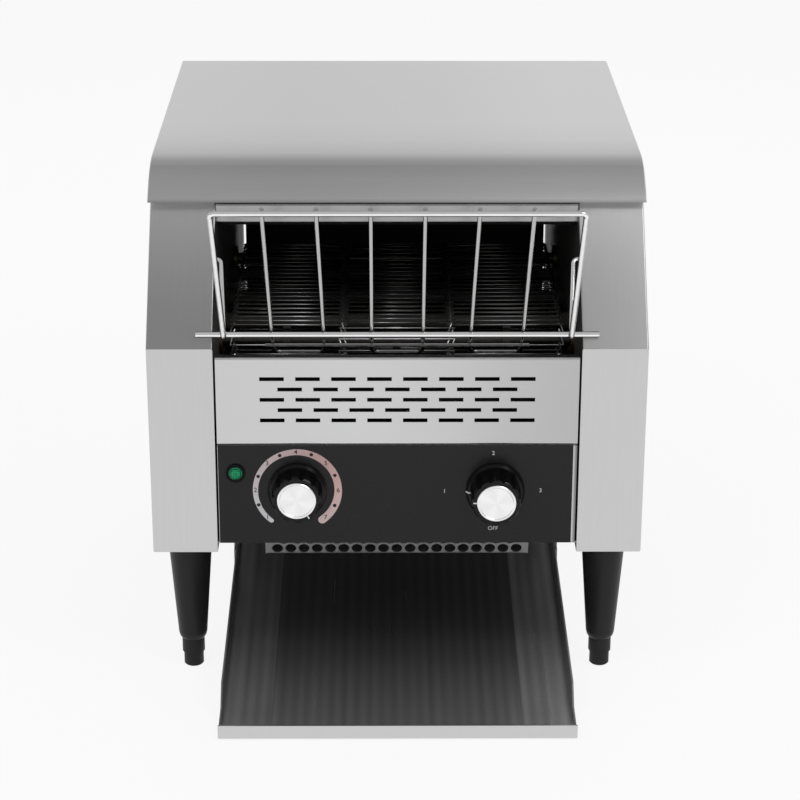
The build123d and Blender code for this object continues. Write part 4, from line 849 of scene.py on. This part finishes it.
belt_curve = bpy.data.curves.new("conveyor_wires", "CURVE")
belt_curve.dimensions = "3D"
belt_curve.bevel_depth = belt_wire / 2 * MM
belt_curve.bevel_resolution = 2
belt_curve.use_fill_caps = True
for strand in range(belt_spans + belt_teeth):
    line = belt_curve.splines.new("POLY")
    line.points.add(len(wire_steps) - 1)
    for point, (x, along, rise) in zip(line.points, wire_steps):
        y, z = round_belt((strand + along) * belt_pitch, rise)
        point.co = (x * MM, y * MM, z * MM, 1.0)
# Painted shade: the wires darken towards the back, deeper in the tunnel.
belt_steel = brushed_sheet(
    "belt_steel", (60.0, 900.0, 900.0), (0.85, 0.84, 0.83), (0.98, 0.97, 0.96), 0.3, 0.1, 0.03,
    shading=[("Y", [(front_mm + 72, 1.0), (front_mm + 110, 0.75), (front_mm + 200, 0.42),
                    (front_mm + 350, 0.4)])],
)
belt_curve.materials.append(belt_steel)
belt_object = bpy.data.objects.new("conveyor_wires", belt_curve)
bpy.context.scene.collection.objects.link(belt_object)
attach(belt_object, "housing")
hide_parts("conveyor_belt")


# ------------------------------------------------------------------ shafts, wheels and drive
# Steel shafts and pressed toothed wheels in bronze bushes, all coloured near-black as painted
# shade of the tunnel. A plated gear motor on the right inner wall turns them through a chain in
# the right housing.
# The spindles behind the knobs are turned from the same steel.
turned_steel = brushed_sheet(
    "turned_steel", (300.0, 300.0, 300.0), (0.05, 0.048, 0.045), (0.12, 0.115, 0.11), 0.36
)
dress(turned_steel, "drive_shaft", "idler_shaft", "drive_wheels", "idler_wheels",
      "shaft_chain_wheel", "motor_chain_wheel", "motor_output_shaft", "drive_chain",
      "speed_spindle", "selector_spindle")
bush_bronze = brushed_sheet(
    "bush_bronze", (400.0, 400.0, 400.0), (0.1, 0.08, 0.05), (0.2, 0.16, 0.1), 0.4
)
dress(bush_bronze, "shaft_bushes")
motor_zinc = smoked_sheet("motor_zinc", (0.4, 0.4, 0.41), (0.56, 0.56, 0.57), 0.4)
dress(motor_zinc, "gear_motor")


# ------------------------------------------------------------------ heaters
# Frosted quartz tubes above and below the belt, in ceramic sockets through the inner walls.
# Tubes and sockets are coloured near-black as painted shade of the tunnel, so little light comes
# off them.
quartz = speckled_plastic("quartz", (0.03, 0.029, 0.027), 0.35, 0.03, 400.0, 0.05, shine=0.1)
dress(quartz, "upper_heaters", "lower_heaters")
ceramic = speckled_plastic("ceramic", (0.035, 0.032, 0.028), 0.6, 0.02, 300.0, 0.08, shine=0.1)
dress(ceramic, "heater_end_caps")


# ------------------------------------------------------------------ feed rack
# Round steel wire, bent, spot welded and plated. The frame turns on two pivot ends. Its grey is
# painted reflection: the frame is bright along its middle, and the duller rods are bright along
# their edges.
def plated_wire(name, reflection_greys):
    """Round plated wire with painted reflection. Its grey is given from the middle (0) to the edge
    (1) of what is seen.
    """
    material, start = new_finish(name, {"Metallic": 1.0})
    flank = start.node("ShaderNodeLayerWeight", inputs={"Blend": 0.5}, output="Facing")
    place = start.node("ShaderNodeTexCoord", output="Object")
    grain = start.node(
        "ShaderNodeTexNoise", inputs={"Vector": place, "Scale": 300.0, "Detail": 2.0}
    )
    stops = [(at, (grey, grey, grey)) for at, grey in reflection_greys]
    shade = start.node("ShaderNodeValToRGB", {"stops": stops}, {0: flank + grain * 0.1})
    lay_on(material, {"Base Color": shade, "Roughness": grain * 0.06 + 0.08})
    return material


frame_wire = plated_wire("frame_wire", [(0.0, 1.0), (0.3, 0.85), (0.5, 0.45), (0.85, 0.14)])
dress(frame_wire, "rack_frame")
rod_wire = plated_wire("rod_wire", [(0.0, 0.14), (0.08, 0.2), (0.25, 0.5), (0.6, 0.5)])
dress(rod_wire, "rack_rods")


# ------------------------------------------------------------------ feet
# Four tapered legs, moulded in black plastic, stand under the housings. A levelling tip with
# a collar screws into each of them.
leg_black = speckled_plastic("leg_black", (0.008, 0.008, 0.008), 0.4, 0.006, 650.0, 0.15)
tip_black = speckled_plastic("tip_black", (0.01, 0.01, 0.01), 0.5, 0.006, 500.0, 0.2)
for row in ("front", "rear"):
    for side in ("left", "right"):
        dress(leg_black, f"foot_{row}_{side}")
        dress(tip_black, f"foot_tip_{row}_{side}")
